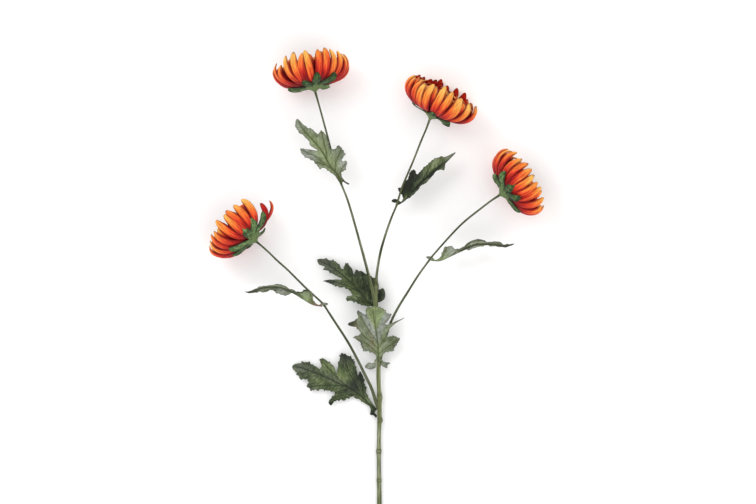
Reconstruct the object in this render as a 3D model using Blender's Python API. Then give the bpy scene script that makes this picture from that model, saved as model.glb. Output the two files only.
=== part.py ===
"""Cut spray of an incurved chrysanthemum lying on a table: one branched stem, seven lobed leaves
and four cupped flower heads, each with its green calyx."""
import math
import random

import bpy
import bmesh
import numpy as np
from mathutils import Vector
from mathutils.geometry import delaunay_2d_cdt

for item in list(bpy.data.objects):
    bpy.data.objects.remove(item, do_unlink=True)

# Everything below is in millimetres, the spray's length along +Y, the table at z = 0.
MM = 0.001
UP = np.array([0.0, 0.0, 1.0])

# Stem and stalks: x, y, z of the centre line and the radius there; a node is a short swelling.
MAIN_STEM = [
    (2.0, -282.4, 2.6, 2.6), (2.0, -216.4, 3.0, 2.6),
    (1.7, -193.5, 3.3, 2.55), (1.7, -191.1, 3.4, 2.95), (1.7, -188.7, 3.4, 2.55),
    (1.4, -161.6, 3.9, 2.6), (1.4, -159.2, 4.0, 3.2), (1.5, -156.8, 4.0, 2.6),
    (2.2, -127.6, 5.1, 2.6), (2.8, -125.1, 5.2, 3.25), (2.3, -122.0, 5.3, 2.65),
    (2.1, -106.0, 6.2, 2.65), (2.4, -99.5, 6.5, 3.25), (1.9, -94.0, 6.9, 2.5),
    (1.2, -80.0, 8.0, 2.4), (1.1, -60.2, 9.9, 2.3), (0.1, -30.5, 12.9, 2.4),
    (-1.9, 2.5, 16.4, 2.6), (-2.7, 14.0, 18.0, 2.5), (-2.8, 18.0, 18.5, 1.5),
]
STALKS = {
    "left": [
        (2.1, -115.2, 5.9, 1.5), (-1.7, -105.3, 7.3, 1.85), (-6.1, -91.0, 9.6, 1.7),
        (-14.9, -72.3, 13.0, 1.5), (-30.8, -41.5, 19.0, 1.35), (-49.0, -12.9, 25.2, 1.25),
        (-57.3, 0.1, 28.1, 1.15), (-58.9, 2.5, 28.6, 1.4), (-60.7, 4.6, 29.1, 1.15),
        (-79.8, 22.3, 35.5, 1.1), (-98.5, 41.0, 41.3, 1.05), (-109.5, 50.9, 44.0, 1.05),
        (-120.5, 61.5, 45.6, 1.05), (-128.7, 68.7, 45.4, 1.1),
    ],
    "top_left": [
        (-2.0, 2.5, 16.6, 1.6), (-4.2, 14.0, 19.0, 2.0), (-6.9, 24.5, 20.4, 1.8), (-9.4, 34.0, 21.6, 1.6),
        (-17.1, 63.0, 25.0, 1.4), (-32.9, 118.0, 32.0, 1.2), (-39.3, 134.2, 34.0, 1.15),
        (-40.2, 136.7, 34.3, 1.4), (-41.1, 139.1, 34.6, 1.15), (-44.6, 148.8, 35.8, 1.1),
        (-55.6, 190.6, 40.2, 1.05), (-65.9, 228.0, 41.8, 1.05),
    ],
    "top_right": [
        (-1.6, 8.0, 17.2, 1.6), (-1.4, 17.0, 18.6, 2.2), (-1.2, 23.5, 19.3, 2.7), (-1.3, 28.0, 19.6, 1.9),
        (-1.0, 34.4, 19.9, 1.5), (3.9, 63.0, 21.5, 1.4), (14.4, 96.0, 24.0, 1.2),
        (20.7, 111.3, 25.0, 1.15), (21.5, 113.6, 25.2, 1.4), (22.2, 116.0, 25.4, 1.15),
        (26.7, 131.2, 26.2, 1.1), (33.6, 147.7, 27.2, 1.1), (39.7, 162.0, 29.2, 1.05),
        (48.4, 184.0, 31.4, 1.05), (54.0, 197.2, 32.8, 1.05),
    ],
    "right": [
        (1.3, -71.2, 9.2, 1.3), (3.4, -58.0, 11.0, 1.5), (8.2, -36.0, 14.5, 1.4),
        (14.9, -16.2, 18.0, 1.35), (21.9, -1.9, 20.5, 1.3), (34.7, 19.0, 24.5, 1.25),
        (45.1, 35.5, 27.4, 1.15), (55.9, 50.5, 30.0, 1.15), (57.4, 52.6, 30.3, 1.4),
        (58.9, 54.6, 30.7, 1.15), (91.4, 90.5, 37.2, 1.1), (112.8, 108.1, 39.8, 1.05),
        (126.0, 118.0, 40.6, 1.05),
    ],
}

# Flower heads: base of the head, heading and rise of its axis in degrees, how far its petals
# spread and stand against the rows below, and the seed of its petals. Angles round the axis are
# in degrees, with -90 on the upper side: the thin sector that lost its petals, the loose petals
# left in it (angle, reach, height, roll), and the sepals (angle, reach and height against the curve below).
HEADS = {
    "left": dict(
        base=(-134.2, 73.4, 43.6), heading=136.2, rise=-15.0, spread=0.95, depth=1.0, seed=11,
        thin=(-42.0, 78.0), loose=[(6.0, 0.8, 1.6, 0.0), (36.0, 1.4, 11.0, -35.0)],
        sepals=[(-39, 1.15, 1.0), (-63, 1.05, 1.3), (-90, 1.05, 1.2), (-139, 1.08, 0.8),
                 (180, 0.78, 0.62), (115, 0.84, 0.72), (55, 0.84, 0.72)]),
    "top_left": dict(
        base=(-68.8, 239.0, 40.75), heading=99.5, rise=-9.0, spread=0.94, depth=1.0, seed=23,
        thin=None, loose=[],
        sepals=[(-45, 1.14, 1.08), (-80, 1.08, 1.16), (-113, 0.8, 0.65), (178, 0.78, 0.6),
                 (130, 0.84, 0.72), (80, 0.84, 0.72), (25, 0.4, 0.2)]),
    "top_right": dict(
        base=(58.5, 208.8, 34.1), heading=63.0, rise=7.0, spread=0.98, depth=1.0, seed=37,
        thin=None, loose=[],
        sepals=[(-35, 0.72, 0.5), (-90, 0.84, 0.72), (-172, 0.6, 0.4), (150, 0.84, 0.72),
                 (104, 0.84, 0.72), (60, 0.84, 0.72), (15, 0.5, 0.35)]),
    "right": dict(
        base=(135.9, 124.4, 39.65), heading=31.9, rise=-8.0, spread=0.88, depth=1.0, seed=41,
        thin=None, loose=[],
        sepals=[(-12, 0.82, 0.66), (-65, 1.2, 1.05), (-92, 1.1, 1.28), (-124, 1.2, 1.2),
                 (-165, 0.62, 0.45), (120, 0.84, 0.72), (50, 0.84, 0.72)]),
}

# A laid head is pressed a little flat: petals above and below reach less far and stand taller.
PRESS = 0.17
LIFT = [0.32, 0.16]

# Petal rows, outermost first: how many, width, and the four control points (radius, height)
# of the curve that each petal follows from the core to its tip.
PETAL_ROWS = [
    dict(count=24, width=10.2, curve=[(9.5, 6.8), (30.0, 5.5), (48.0, 15.5), (40.0, 32.0)]),
    dict(count=22, width=9.6, curve=[(9.0, 9.0), (27.0, 9.5), (42.0, 19.5), (35.0, 32.5)]),
    dict(count=17, width=9.2, curve=[(8.0, 12.0), (23.0, 14.0), (36.0, 23.5), (29.0, 33.0)]),
    dict(count=13, width=8.6, curve=[(7.0, 14.0), (18.0, 19.0), (28.0, 26.0), (22.0, 33.0)]),
    dict(count=9, width=8.0, curve=[(5.0, 16.0), (13.0, 22.0), (20.5, 28.0), (15.0, 32.5)]),
    dict(count=6, width=7.4, curve=[(3.0, 17.5), (8.0, 24.0), (12.5, 29.5), (8.0, 32.0)]),
    dict(count=3, width=5.5, curve=[(1.0, 18.0), (3.0, 24.0), (5.0, 29.0), (2.5, 31.5)]),
]
LOOSE_ROW = dict(width=8.6, curve=[(9.5, 6.8), (24.0, 8.0), (42.0, 8.0), (43.0, 20.0)])
PETAL_JITTER = dict(angle=0.2, reach=1.8, low=-3.4, high=2.4, lean=2.0, roll=14.0)
THINNED_ROWS = 5
PETAL_WIDTH = [
    (0.0, 0.25), (0.15, 0.54), (0.3, 0.78), (0.45, 0.94), (0.6, 1.0), (0.75, 0.95), (0.85, 0.78), (1.0, 0.13),
]
PETAL_CUP = 2.1
PETAL_THICKNESS = 0.9
PETAL_RINGS = [(0.0, 0.3, 0.6, 0.85), (0.0, 0.4, 0.78), (0.0, 0.45, 0.8), (0.0, 0.55)]
RIDGED_ROWS = 1

# Core of a head and cup of its calyx: outlines (radius, height) turned round the head's axis.
CORE = [(0.0, 1.5), (4.0, 2.0), (9.0, 4.5), (13.0, 8.5), (14.0, 11.5), (11.5, 15.5), (6.5, 19.5), (0.0, 21.0)]
CUP = [
    (0.0, -2.6), (1.9, -2.6), (3.0, -1.4), (5.0, 0.0), (9.9, 3.2),
    (9.2, 4.15), (4.1, 1.6), (0.0, 1.1),
]
CUP_FOOT = 2.6
SEAT_GAP = 0.3
SEGMENTS = 12
SEPAL_WIDTH = 9.6
SEPAL_CURVE = [(7.5, 2.5), (14.5, 3.8), (21.5, 4.4), (29.5, 5.4), (36.5, 9.2)]
SEPAL_SPREAD = [0.75, 0.95, 1.0, 0.75, 0.0]

# Leaves: the middle vein's line, roll of the blade at root and tip, fold of each half at root
# and tip, and the outline as distance along the vein and distance to its left. A span gives the
# shares of the length between which roll and fold turn; without it they turn over the whole leaf.
FLAT_OUTLINE = [
    (0.0, 1.0), (0.6, 2.7), (-4.6, 3.3), (-5.6, 5.6), (-1.5, 6.2), (1.8, 4.4), (4.0, 2.0),
    (8.0, 3.4), (12.0, 6.0), (15.0, 10.0), (20.0, 14.5), (25.0, 13.0), (29.0, 7.0), (34.0, 5.5),
    (38.0, 12.0), (44.0, 18.0), (50.0, 19.0), (57.0, 17.0), (60.0, 12.0), (64.0, 9.5),
    (68.0, 12.0), (73.0, 12.0), (76.0, 8.0), (83.0, 5.5), (92.0, 0.0),
    (84.0, -5.5), (77.0, -7.5), (75.0, -12.0), (69.0, -12.5), (64.0, -9.5), (60.0, -11.0),
    (57.0, -16.0), (51.0, -19.0), (45.0, -18.5), (39.0, -12.0), (35.0, -6.5), (30.0, -7.0),
    (27.0, -13.0), (21.0, -15.0), (16.0, -11.0), (12.0, -6.5), (8.0, -3.4), (4.0, -2.0),
    (1.8, -4.4), (-1.5, -6.0), (-5.4, -5.4), (-4.4, -3.3), (0.6, -2.7), (0.0, -1.0),
]
LEAVES = {
    "leaf_top_left": dict(
        vein=[(-39.7, 136.6, 36.5), (-44.1, 145.9, 39.6), (-51.8, 155.0, 42.6), (-60.3, 170.4, 45.0),
              (-73.6, 186.6, 46.0), (-82.5, 196.6, 45.0), (-88.3, 207.0, 43.0)],
        roll=(0.0, 0.0), fold=(-14.0, -8.0),
        outline=[
            (0.0, 1.0), (4.0, 2.2), (11.0, 3.2), (19.0, 5.0), (24.0, 7.0), (26.0, 12.0), (32.0, 13.0),
            (42.0, 16.0), (48.0, 19.0), (54.0, 19.0), (59.0, 17.0), (51.0, 9.0), (45.0, 3.5),
            (55.0, 6.0), (58.0, 4.5), (67.0, 4.5), (77.0, 6.0), (83.0, 4.0), (86.2, 0.0), (76.0, -3.5),
            (72.0, -5.0), (65.0, -8.0), (59.0, -8.0), (59.0, -14.0), (51.0, -15.0), (48.0, -14.0),
            (39.0, -9.5), (37.0, -13.0), (37.0, -20.0), (33.0, -21.0), (24.0, -21.0), (18.0, -14.0),
            (15.0, -17.0), (13.0, -16.0), (10.0, -11.0), (9.0, -5.0), (6.0, -3.2), (3.4, -3.8),
            (-0.4, -5.0), (-5.2, -8.0), (-5.4, -6.6), (-1.4, -3.6), (0.4, -2.4), (0.0, -1.0)],
    ),
    "leaf_top_right": dict(
        vein=[(22.8, 113.1, 23.4), (29.6, 117.5, 24.6), (38.5, 127.0, 26.2), (48.0, 137.0, 27.4),
              (58.5, 147.0, 27.4), (71.0, 158.5, 26.2), (86.0, 170.6, 23.5)],
        roll=(-55.0, -34.0), fold=(35.0, 18.0),
        outline=[
            (0.0, 1.0), (0.6, 2.9), (-2.5, 4.0), (-5.0, 8.0), (-1.0, 8.4), (2.6, 4.6), (4.0, 1.5),
            (8.7, 3.8), (10.0, 12.0), (12.5, 16.5), (17.0, 13.0), (23.0, 16.0), (28.0, 15.0),
            (33.0, 18.5), (39.5, 18.5), (39.0, 11.0), (46.0, 11.2), (54.0, 11.0), (62.0, 10.7),
            (70.0, 7.5), (74.0, 3.6), (86.0, 0.0), (76.0, -3.0), (69.0, -5.0), (63.0, -12.0),
            (57.0, -5.0), (52.0, -5.0), (47.0, -8.0), (42.0, -9.0), (36.0, -8.0), (32.0, -6.0),
            (27.0, -9.0), (20.0, -11.0), (15.0, -8.0), (12.0, -3.0), (8.0, -1.6), (4.4, -1.6),
            (3.8, -3.6), (2.6, -5.4), (1.8, -4.2), (2.0, -1.6), (0.0, -1.0)],
    ),
    "leaf_right": dict(
        vein=[(58.8, 51.5, 30.3), (68.8, 51.3, 30.8), (78.7, 55.5, 31.5), (97.4, 64.3, 32.5),
              (107.3, 68.3, 32.5), (124.9, 69.4, 31.0), (140.8, 67.2, 28.5), (150.8, 69.7, 27.0)],
        roll=(-90.0, -103.0), fold=(52.0, 4.0), span=(0.30, 0.46), outline=FLAT_OUTLINE,
    ),
    "leaf_left": dict(
        vein=[(-60.6, 0.9, 28.6), (-71.0, 2.9, 28.6), (-80.9, 8.4, 29.4), (-93.0, 16.0, 30.2),
              (-106.6, 21.8, 30.2), (-118.3, 22.6, 29.4), (-126.0, 21.6, 28.4),
              (-141.4, 16.8, 25.6), (-145.8, 17.0, 24.8)],
        roll=(90.0, 106.0), fold=(55.0, -9.0), span=(0.31, 0.46), outline=FLAT_OUTLINE,
    ),
    "leaf_fork": dict(
        vein=[(-3.2, 1.0, 12.9), (-12.7, 8.0, 12.4), (-21.5, 19.0, 11.8), (-34.7, 32.2, 11.0),
              (-49.0, 43.2, 9.5), (-66.4, 52.4, 7.0)],
        roll=(12.0, 2.0), fold=(2.0, 8.0),
        outline=[
            (0.0, 1.0), (3.0, 2.0), (7.0, 6.0), (15.0, 10.0), (20.0, 15.0), (26.0, 18.0), (28.0, 15.0),
            (26.0, 8.0), (36.0, 9.0), (46.0, 15.0), (57.0, 17.0), (63.0, 18.0), (56.0, 12.0), (46.0, 4.0),
            (58.0, 6.0), (66.0, 6.0), (71.0, 7.0), (70.0, 3.5), (77.0, 4.0), (81.2, 0.0), (71.0, -6.0),
            (62.0, -8.0), (53.0, -6.0), (54.0, -13.0), (48.0, -13.0), (41.0, -10.0), (42.0, -14.0),
            (36.0, -17.0), (31.0, -20.0), (25.0, -22.0), (15.0, -19.0), (9.0, -17.0), (4.0, -22.0),
            (-1.0, -19.0), (-4.0, -13.0), (-2.0, -7.0), (2.5, -3.0), (0.0, -1.0)],
    ),
    "leaf_front": dict(
        vein=[(1.1, -59.7, 13.0), (0.8, -49.2, 16.5), (0.1, -37.1, 20.0), (-1.7, -25.0, 23.5),
              (-2.2, -11.8, 26.5), (-2.2, 1.4, 28.0)],
        roll=(0.0, 0.0), fold=(-12.0, -10.0),
        outline=[
            (0.0, 1.0), (0.0, 2.9), (-5.4, 2.9), (-8.4, 4.6), (-9.8, 8.6), (-9.4, 12.0), (-7.2, 15.6),
            (-4.4, 13.8), (-2.2, 11.0), (-2.6, 8.0), (-2.2, 5.2), (1.5, 4.2),
            (3.5, 1.6), (8.0, 4.0), (10.0, 9.0), (12.0, 17.0), (17.0, 18.5),
            (24.0, 21.0), (30.0, 26.0), (32.0, 18.0), (38.0, 22.0), (41.0, 32.0), (48.0, 20.0),
            (56.0, 20.5), (52.0, 11.0), (57.0, 11.0), (60.0, 8.0), (61.2, 0.0), (60.0, -5.0),
            (58.0, -10.0), (55.0, -12.0), (51.0, -18.0), (40.0, -10.5), (47.0, -33.0), (40.0, -21.0),
            (26.0, -12.0), (25.0, -20.0), (21.0, -25.0), (17.0, -21.0), (10.0, -16.0), (9.0, -8.0),
            (5.0, -4.0), (3.0, -1.6), (1.6, -4.2), (-0.8, -5.2), (-1.8, -8.4), (-3.4, -13.2),
            (-5.4, -10.4), (-9.0, -9.4), (-7.4, -6.2), (-4.8, -3.2),
            (0.0, -2.9), (0.0, -1.0)],
    ),
    "leaf_low": dict(
        vein=[(-1.4, -113.8, 5.1), (-7.3, -108.5, 4.6), (-24.8, -93.2, 4.2), (-44.6, -83.3, 4.5),
              (-63.3, -74.5, 4.8), (-85.2, -66.8, 4.0), (-94.2, -65.5, 3.2)],
        roll=(0.0, 0.0), fold=(3.0, 6.0),
        outline=[
            (0.0, 1.2), (-0.6, 3.0), (-4.6, 3.8), (-5.6, 6.2), (-1.4, 6.4), (1.6, 8.2), (4.6, 4.2), (8.0, 1.9),
            (14.0, 3.0), (21.0, 4.6), (29.0, 6.0), (36.0, 13.0), (47.0, 20.0), (50.0, 27.0), (53.0, 23.0),
            (52.0, 12.0), (65.0, 15.0), (78.0, 20.0), (83.0, 17.0), (85.0, 11.0), (93.0, 12.0),
            (99.0, 9.0), (106.9, 0.0), (100.0, -5.0), (92.0, -9.0), (83.0, -7.0), (76.0, -7.0),
            (81.0, -17.0), (67.0, -16.0), (63.0, -13.0), (59.0, -10.0), (63.0, -23.0), (64.0, -31.0),
            (52.0, -33.0), (45.0, -29.0), (37.0, -17.0), (37.0, -22.0), (29.0, -15.0), (24.0, -10.0),
            (19.0, -6.4), (12.0, -3.6), (3.0, -1.8), (0.0, -1.2)],
    ),
}
LEAF_THICKNESS = 0.8
VEIN_STEP = 11.0
FOLD_FADE = 2.5

# Colours of the nodes.
STEM_GREEN = (0.16, 0.2, 0.075, 1.0)
LEAF_GREEN = (0.08, 0.13, 0.045, 1.0)
CALYX_GREEN = (0.05, 0.15, 0.03, 1.0)
PETAL_ORANGE = (0.85, 0.18, 0.02, 1.0)


def material(name, colour, roughness):
    made = bpy.data.materials.new(name)
    made.use_nodes = True
    shader = made.node_tree.nodes["Principled BSDF"]
    shader.inputs["Base Color"].default_value = colour
    shader.inputs["Roughness"].default_value = roughness
    return made


def solid(name, points, faces):
    """A mesh object from points in millimetres, its faces turned outward."""
    mesh = bpy.data.meshes.new(name)
    mesh.from_pydata([tuple(MM * float(c) for c in point) for point in points], [], faces)
    work = bmesh.new()
    work.from_mesh(mesh)
    bmesh.ops.recalc_face_normals(work, faces=work.faces)
    work.to_mesh(mesh)
    work.free()
    made = bpy.data.objects.new(name, mesh)
    bpy.context.scene.collection.objects.link(made)
    return made


def fused(name, body, additions):
    """The body united with every addition, as one plain mesh."""
    group = bpy.data.collections.new(name + "_additions")
    for addition in additions:
        group.objects.link(addition)
    union = body.modifiers.new("union", "BOOLEAN")
    union.operation = "UNION"
    union.solver = "EXACT"
    union.operand_type = "COLLECTION"
    union.collection = group
    bpy.context.view_layer.update()
    graph = bpy.context.evaluated_depsgraph_get()
    mesh = bpy.data.meshes.new_from_object(body.evaluated_get(graph))
    for used in additions + [body]:
        bpy.data.objects.remove(used, do_unlink=True)
    bpy.data.collections.remove(group)
    mesh.name = name
    made = bpy.data.objects.new(name, mesh)
    bpy.context.scene.collection.objects.link(made)
    return made


def unit(vector):
    return vector / np.linalg.norm(vector)


def spline(points, steps):
    """A smooth curve through the points, with so many steps to a span."""
    knots = [np.array(point, float) for point in points]
    knots = [2 * knots[0] - knots[1]] + knots + [2 * knots[-1] - knots[-2]]
    curve = []
    for index in range(1, len(knots) - 2):
        a, b, c, d = knots[index - 1:index + 3]
        for step in range(steps):
            t = step / steps
            even = 2 * b + (2 * a - 5 * b + 4 * c - d) * t ** 2
            odd = (c - a) * t + (3 * b - a - 3 * c + d) * t ** 3
            curve.append(0.5 * (even + odd))
    curve.append(knots[-2])
    return curve


def curve_at(points, t):
    """Point and direction on a cubic curve given by its four control points."""
    a, b, c, d = (np.array(point, float) for point in points)
    s = 1 - t
    place = a * s ** 3 + 3 * b * s * s * t + 3 * c * s * t * t + d * t ** 3
    direction = 3 * (b - a) * s * s + 6 * (c - b) * s * t + 3 * (d - c) * t * t
    return place, unit(direction)


def value_at(table, t):
    """Value of a table of (place, value) pairs between its entries."""
    return float(np.interp(t, [pair[0] for pair in table], [pair[1] for pair in table]))


def tube(name, stations, sides):
    """A closed rod along stations of x, y, z and radius."""
    points = []
    faces = []
    for index, station in enumerate(stations):
        before = stations[max(index - 1, 0)][:3]
        after = stations[min(index + 1, len(stations) - 1)][:3]
        along = unit(np.array(after) - np.array(before))
        side = unit(np.cross(along, UP))
        rise = np.cross(side, along)
        for step in range(sides):
            angle = 2 * math.pi * step / sides
            points.append(np.array(station[:3]) + station[3] * (math.cos(angle) * side + math.sin(angle) * rise))
    for index in range(len(stations) - 1):
        for step in range(sides):
            low = index * sides
            right = (step + 1) % sides
            faces.append((low + step, low + sides + step, low + sides + right, low + right))
    faces.append(tuple(range(sides)))
    faces.append(tuple(range(len(points) - 1, len(points) - 1 - sides, -1)))
    return solid(name, points, faces)


def blade(name, rings, tip):
    """A closed blade of rings (left, outer, right and perhaps inner) ending in a point."""
    sides = len(rings[0])
    points = [point for ring in rings for point in ring] + [tip]
    faces = [tuple(reversed(range(sides)))]
    for index in range(len(rings) - 1):
        low = sides * index
        for step in range(sides):
            right = (step + 1) % sides
            faces.append((low + step, low + right, low + sides + right, low + sides + step))
    low = sides * (len(rings) - 1)
    for step in range(sides):
        faces.append((low + step, low + (step + 1) % sides, len(points) - 1))
    return solid(name, points, faces)


class Axes:
    """A head's own axes: place() turns radius, height and angle into a point of the spray."""

    def __init__(self, head):
        heading = math.radians(head["heading"])
        rise = math.radians(head["rise"])
        self.base = np.array(head["base"])
        self.axis = np.array([
            math.cos(rise) * math.cos(heading), math.cos(rise) * math.sin(heading), math.sin(rise)])
        self.first = unit(np.cross(self.axis, UP))
        self.second = np.cross(self.axis, self.first)

    def outward(self, angle):
        return math.cos(angle) * self.first + math.sin(angle) * self.second

    def place(self, radius, height, angle):
        return self.base + self.axis * height + self.outward(angle) * radius


def turned(name, axes, outline):
    """A closed body turned round a head's axis, the outline starting and ending on it."""
    points = [axes.place(0.0, outline[0][1], 0.0)]
    for radius, height in outline[1:-1]:
        for step in range(SEGMENTS):
            points.append(axes.place(radius, height, 2 * math.pi * step / SEGMENTS))
    points.append(axes.place(0.0, outline[-1][1], 0.0))
    last = len(points) - 1
    faces = []
    for step in range(SEGMENTS):
        right = (step + 1) % SEGMENTS
        faces.append((0, 1 + right, 1 + step))
        for ring in range(len(outline) - 3):
            low = 1 + ring * SEGMENTS
            faces.append((low + step, low + right, low + SEGMENTS + right, low + SEGMENTS + step))
        faces.append((last - SEGMENTS + step, last - SEGMENTS + right, last))
    return solid(name, points, faces)


def in_sector(angle, sector):
    """Whether an angle lies in a head's thin sector."""
    if sector is None:
        return False
    return (math.degrees(angle) - sector[0]) % 360.0 < sector[1] - sector[0]


def petal_of(name, axes, head, number, row, shape):
    """One petal: a folded blade from the core, with its own reach, height, lean and roll."""
    angle, reach, height, lean, roll = shape
    out = axes.outward(angle)
    upright = out[2] ** 2
    wide = head["spread"] * (1 - PRESS * upright)
    tall = head["depth"] * (1 + (LIFT + [0.0])[min(number, len(LIFT))] * upright)
    root = row["curve"][0]
    a, b, c, d = ((root[0] + (r - root[0]) * wide, root[1] + (h - root[1]) * tall) for r, h in row["curve"])
    curve = [a, b, (c[0] + 0.7 * reach, c[1] + 0.5 * height), (d[0] + reach, d[1] + height)]
    across = np.cross(axes.axis, out)

    def section(t):
        place, way = curve_at(curve, t)
        centre = axes.place(place[0], place[1], angle) + across * lean * t * t
        away = out * way[1] - axes.axis * way[0]
        side = across * math.cos(roll * t) + away * math.sin(roll * t)
        away = away * math.cos(roll * t) - across * math.sin(roll * t)
        half = 0.5 * row["width"] * value_at(PETAL_WIDTH, t)
        cup = PETAL_CUP * value_at(PETAL_WIDTH, t)
        ring = [centre + side * half, centre + away * cup, centre - side * half]
        if number < RIDGED_ROWS:
            ring.append(centre + away * (cup - PETAL_THICKNESS))
        return ring

    tip = sum(section(1.0)) / len(section(1.0))
    rings = PETAL_RINGS[min(number, len(PETAL_RINGS) - 1)]
    return blade(name, [section(t) for t in rings], tip)


def petals_of(name, axes, head):
    """Every petal of a head, row by row from the outside, and its loose ones."""
    draw = random.Random(head["seed"])
    jitter = PETAL_JITTER
    made = []
    for number, row in enumerate(PETAL_ROWS):
        turn = 2 * math.pi / row["count"]
        start = draw.uniform(0.0, turn)
        for index in range(row["count"]):
            angle = start + turn * (index + draw.uniform(-jitter["angle"], jitter["angle"]))
            reach = draw.uniform(-jitter["reach"], jitter["reach"])
            height = draw.uniform(jitter["low"], jitter["high"])
            lean = draw.uniform(-jitter["lean"], jitter["lean"])
            roll = math.radians(draw.uniform(-jitter["roll"], jitter["roll"]))
            if number >= THINNED_ROWS or not in_sector(angle, head["thin"]):
                made.append(petal_of(name, axes, head, number, row, (angle, reach, height, lean, roll)))
    for angle, reach, height, roll in head["loose"]:
        shape = (math.radians(angle), reach, height, 0.0, math.radians(roll))
        made.append(petal_of(name, axes, head, 0, LOOSE_ROW, shape))
    return made


def sepals_of(name, axes, head):
    """The sepals that hug the back of a head."""
    made = []
    for angle, reach, height in head["sepals"]:
        angle = math.radians(angle)
        out = axes.outward(angle)
        across = np.cross(axes.axis, out)
        away = unit(0.27 * out - 0.96 * axes.axis)
        upright = out[2] ** 2
        wide = head["spread"] * reach * (1 - PRESS * upright)
        tall = head["depth"] * height * (1 + LIFT[0] * upright)
        root = SEPAL_CURVE[0]
        rings = []
        for (radius, rise), spread in zip(SEPAL_CURVE, SEPAL_SPREAD):
            centre = axes.place(root[0] + (radius - root[0]) * wide, root[1] + (rise - root[1]) * tall, angle)
            half = 0.5 * SEPAL_WIDTH * spread
            rings.append([
                centre + across * half, centre + away * 0.5,
                centre - across * half, centre - away * 0.4])
        tip = sum(rings.pop()) / 4
        made.append(blade(name, rings, tip))
    return made


def bend_shares(leaf, share):
    """How far roll has turned at a share of a leaf's length, and how much of the root's fold is left."""
    if "span" not in leaf:
        return share, (1 - share) ** FOLD_FADE
    start, stop = leaf["span"]
    turned = min(max((share - start) / (stop - start), 0.0), 1.0)
    turned = turned * turned * (3 - 2 * turned)
    return turned, 1 - turned


def vein_frame(leaf, curve, lengths, along):
    """Place on the middle vein, and the directions along, left and above the blade there."""
    share = min(max(along / lengths[-1], 0.0), 1.0)
    index = min(max(int(np.searchsorted(lengths, along)), 1), len(curve) - 1)
    low, high = curve[index - 1], curve[index]
    part = (along - lengths[index - 1]) / (lengths[index] - lengths[index - 1])
    centre = low + (high - low) * part
    before = curve[max(index - 3, 0)]
    after = curve[min(index + 2, len(curve) - 1)]
    way = unit(after - before)
    level = unit(np.cross(UP, way))
    above = np.cross(way, level)
    rolled, folded = bend_shares(leaf, share)
    roll = math.radians(leaf["roll"][0] + (leaf["roll"][1] - leaf["roll"][0]) * rolled)
    left = level * math.cos(roll) + above * math.sin(roll)
    above = above * math.cos(roll) - level * math.sin(roll)
    fold = math.radians(leaf["fold"][1] + (leaf["fold"][0] - leaf["fold"][1]) * folded)
    return centre, left, above, fold


def leaf_solid(name, leaf):
    """A leaf cut flat, folded along its middle vein and bent to the vein's line."""
    curve = spline(leaf["vein"], 6)
    steps = [float(np.linalg.norm(b - a)) for a, b in zip(curve, curve[1:])]
    lengths = [0.0]
    for step in steps:
        lengths.append(lengths[-1] + step)
    stretch = lengths[-1] / max(point[0] for point in leaf["outline"])
    flat = [Vector((along * stretch if along > 0 else along, left)) for along, left in leaf["outline"]]
    count = len(flat)
    loop = list(range(count))
    tip = max(loop, key=lambda index: flat[index].x)
    stations = int(lengths[-1] // VEIN_STEP)
    middle = [Vector((lengths[-1] * step / stations, 0.0)) for step in range(stations)]
    chain = [(count + step, count + step + 1) for step in range(stations - 1)] + [(count + stations - 1, tip)]
    corners, _, triangles, _, _, _ = delaunay_2d_cdt(flat + middle, chain, [loop], 1, 1e-5)
    places = []
    for corner in corners:
        centre, left, above, fold = vein_frame(leaf, curve, lengths, corner.x)
        places.append(
            centre + left * corner.y * math.cos(fold) + above * abs(corner.y) * math.sin(fold))
    normals = [np.zeros(3) for _ in places]
    used = {}
    for triangle in triangles:
        a, b, c = (places[index] for index in triangle)
        facing = np.cross(b - a, c - a)
        for index in triangle:
            normals[index] += facing
        for one, two in zip(triangle, triangle[1:] + triangle[:1]):
            used[(one, two)] = True
    total = len(places)
    half = [unit(normal) * LEAF_THICKNESS / 2 for normal in normals]
    points = [place + shift for place, shift in zip(places, half)]
    points += [place - shift for place, shift in zip(places, half)]
    faces = [tuple(triangle) for triangle in triangles]
    faces += [tuple(total + index for index in reversed(triangle)) for triangle in triangles]
    for one, two in used:
        if (two, one) not in used:
            faces.append((one, total + one, total + two, two))
    return solid(name, points, faces)


# Stem with its four stalks, each stalk ending just short of the head that it carries.
main_stem = tube("main_stem", MAIN_STEM, 8)
stalks = []
for place, stations in STALKS.items():
    head_axes = Axes(HEADS[place])
    end = head_axes.base - head_axes.axis * (CUP_FOOT + SEAT_GAP)
    stalks.append(tube("stalk_" + place, stations + [tuple(end) + (1.35,)], 6))
stem = fused("stem", main_stem, stalks)
stem.data.materials.append(material("stem_green", STEM_GREEN, 0.6))

# Leaves.
for leaf_name, leaf in LEAVES.items():
    piece = leaf_solid(leaf_name, leaf)
    piece.data.materials.append(material(leaf_name + "_green", LEAF_GREEN, 0.7))

# Heads and calyces.
for place, head in HEADS.items():
    head_axes = Axes(head)
    core = turned("core", head_axes, CORE)
    petals = fused("petals_" + place, core, petals_of("petal", head_axes, head))
    petals.data.materials.clear()
    petals.data.materials.append(material("petals_" + place + "_orange", PETAL_ORANGE, 0.65))
    cup = turned("cup", head_axes, CUP)
    calyx = fused("calyx_" + place, cup, sepals_of("sepal", head_axes, head))
    calyx.data.materials.clear()
    calyx.data.materials.append(material("calyx_" + place + "_green", CALYX_GREEN, 0.7))
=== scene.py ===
"""A cut spray of incurved chrysanthemums in silk, lying on a pale floor and seen from above."""
import math
import random

import bpy
import numpy as np
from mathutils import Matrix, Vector
from mathutils.geometry import delaunay_2d_cdt


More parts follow.
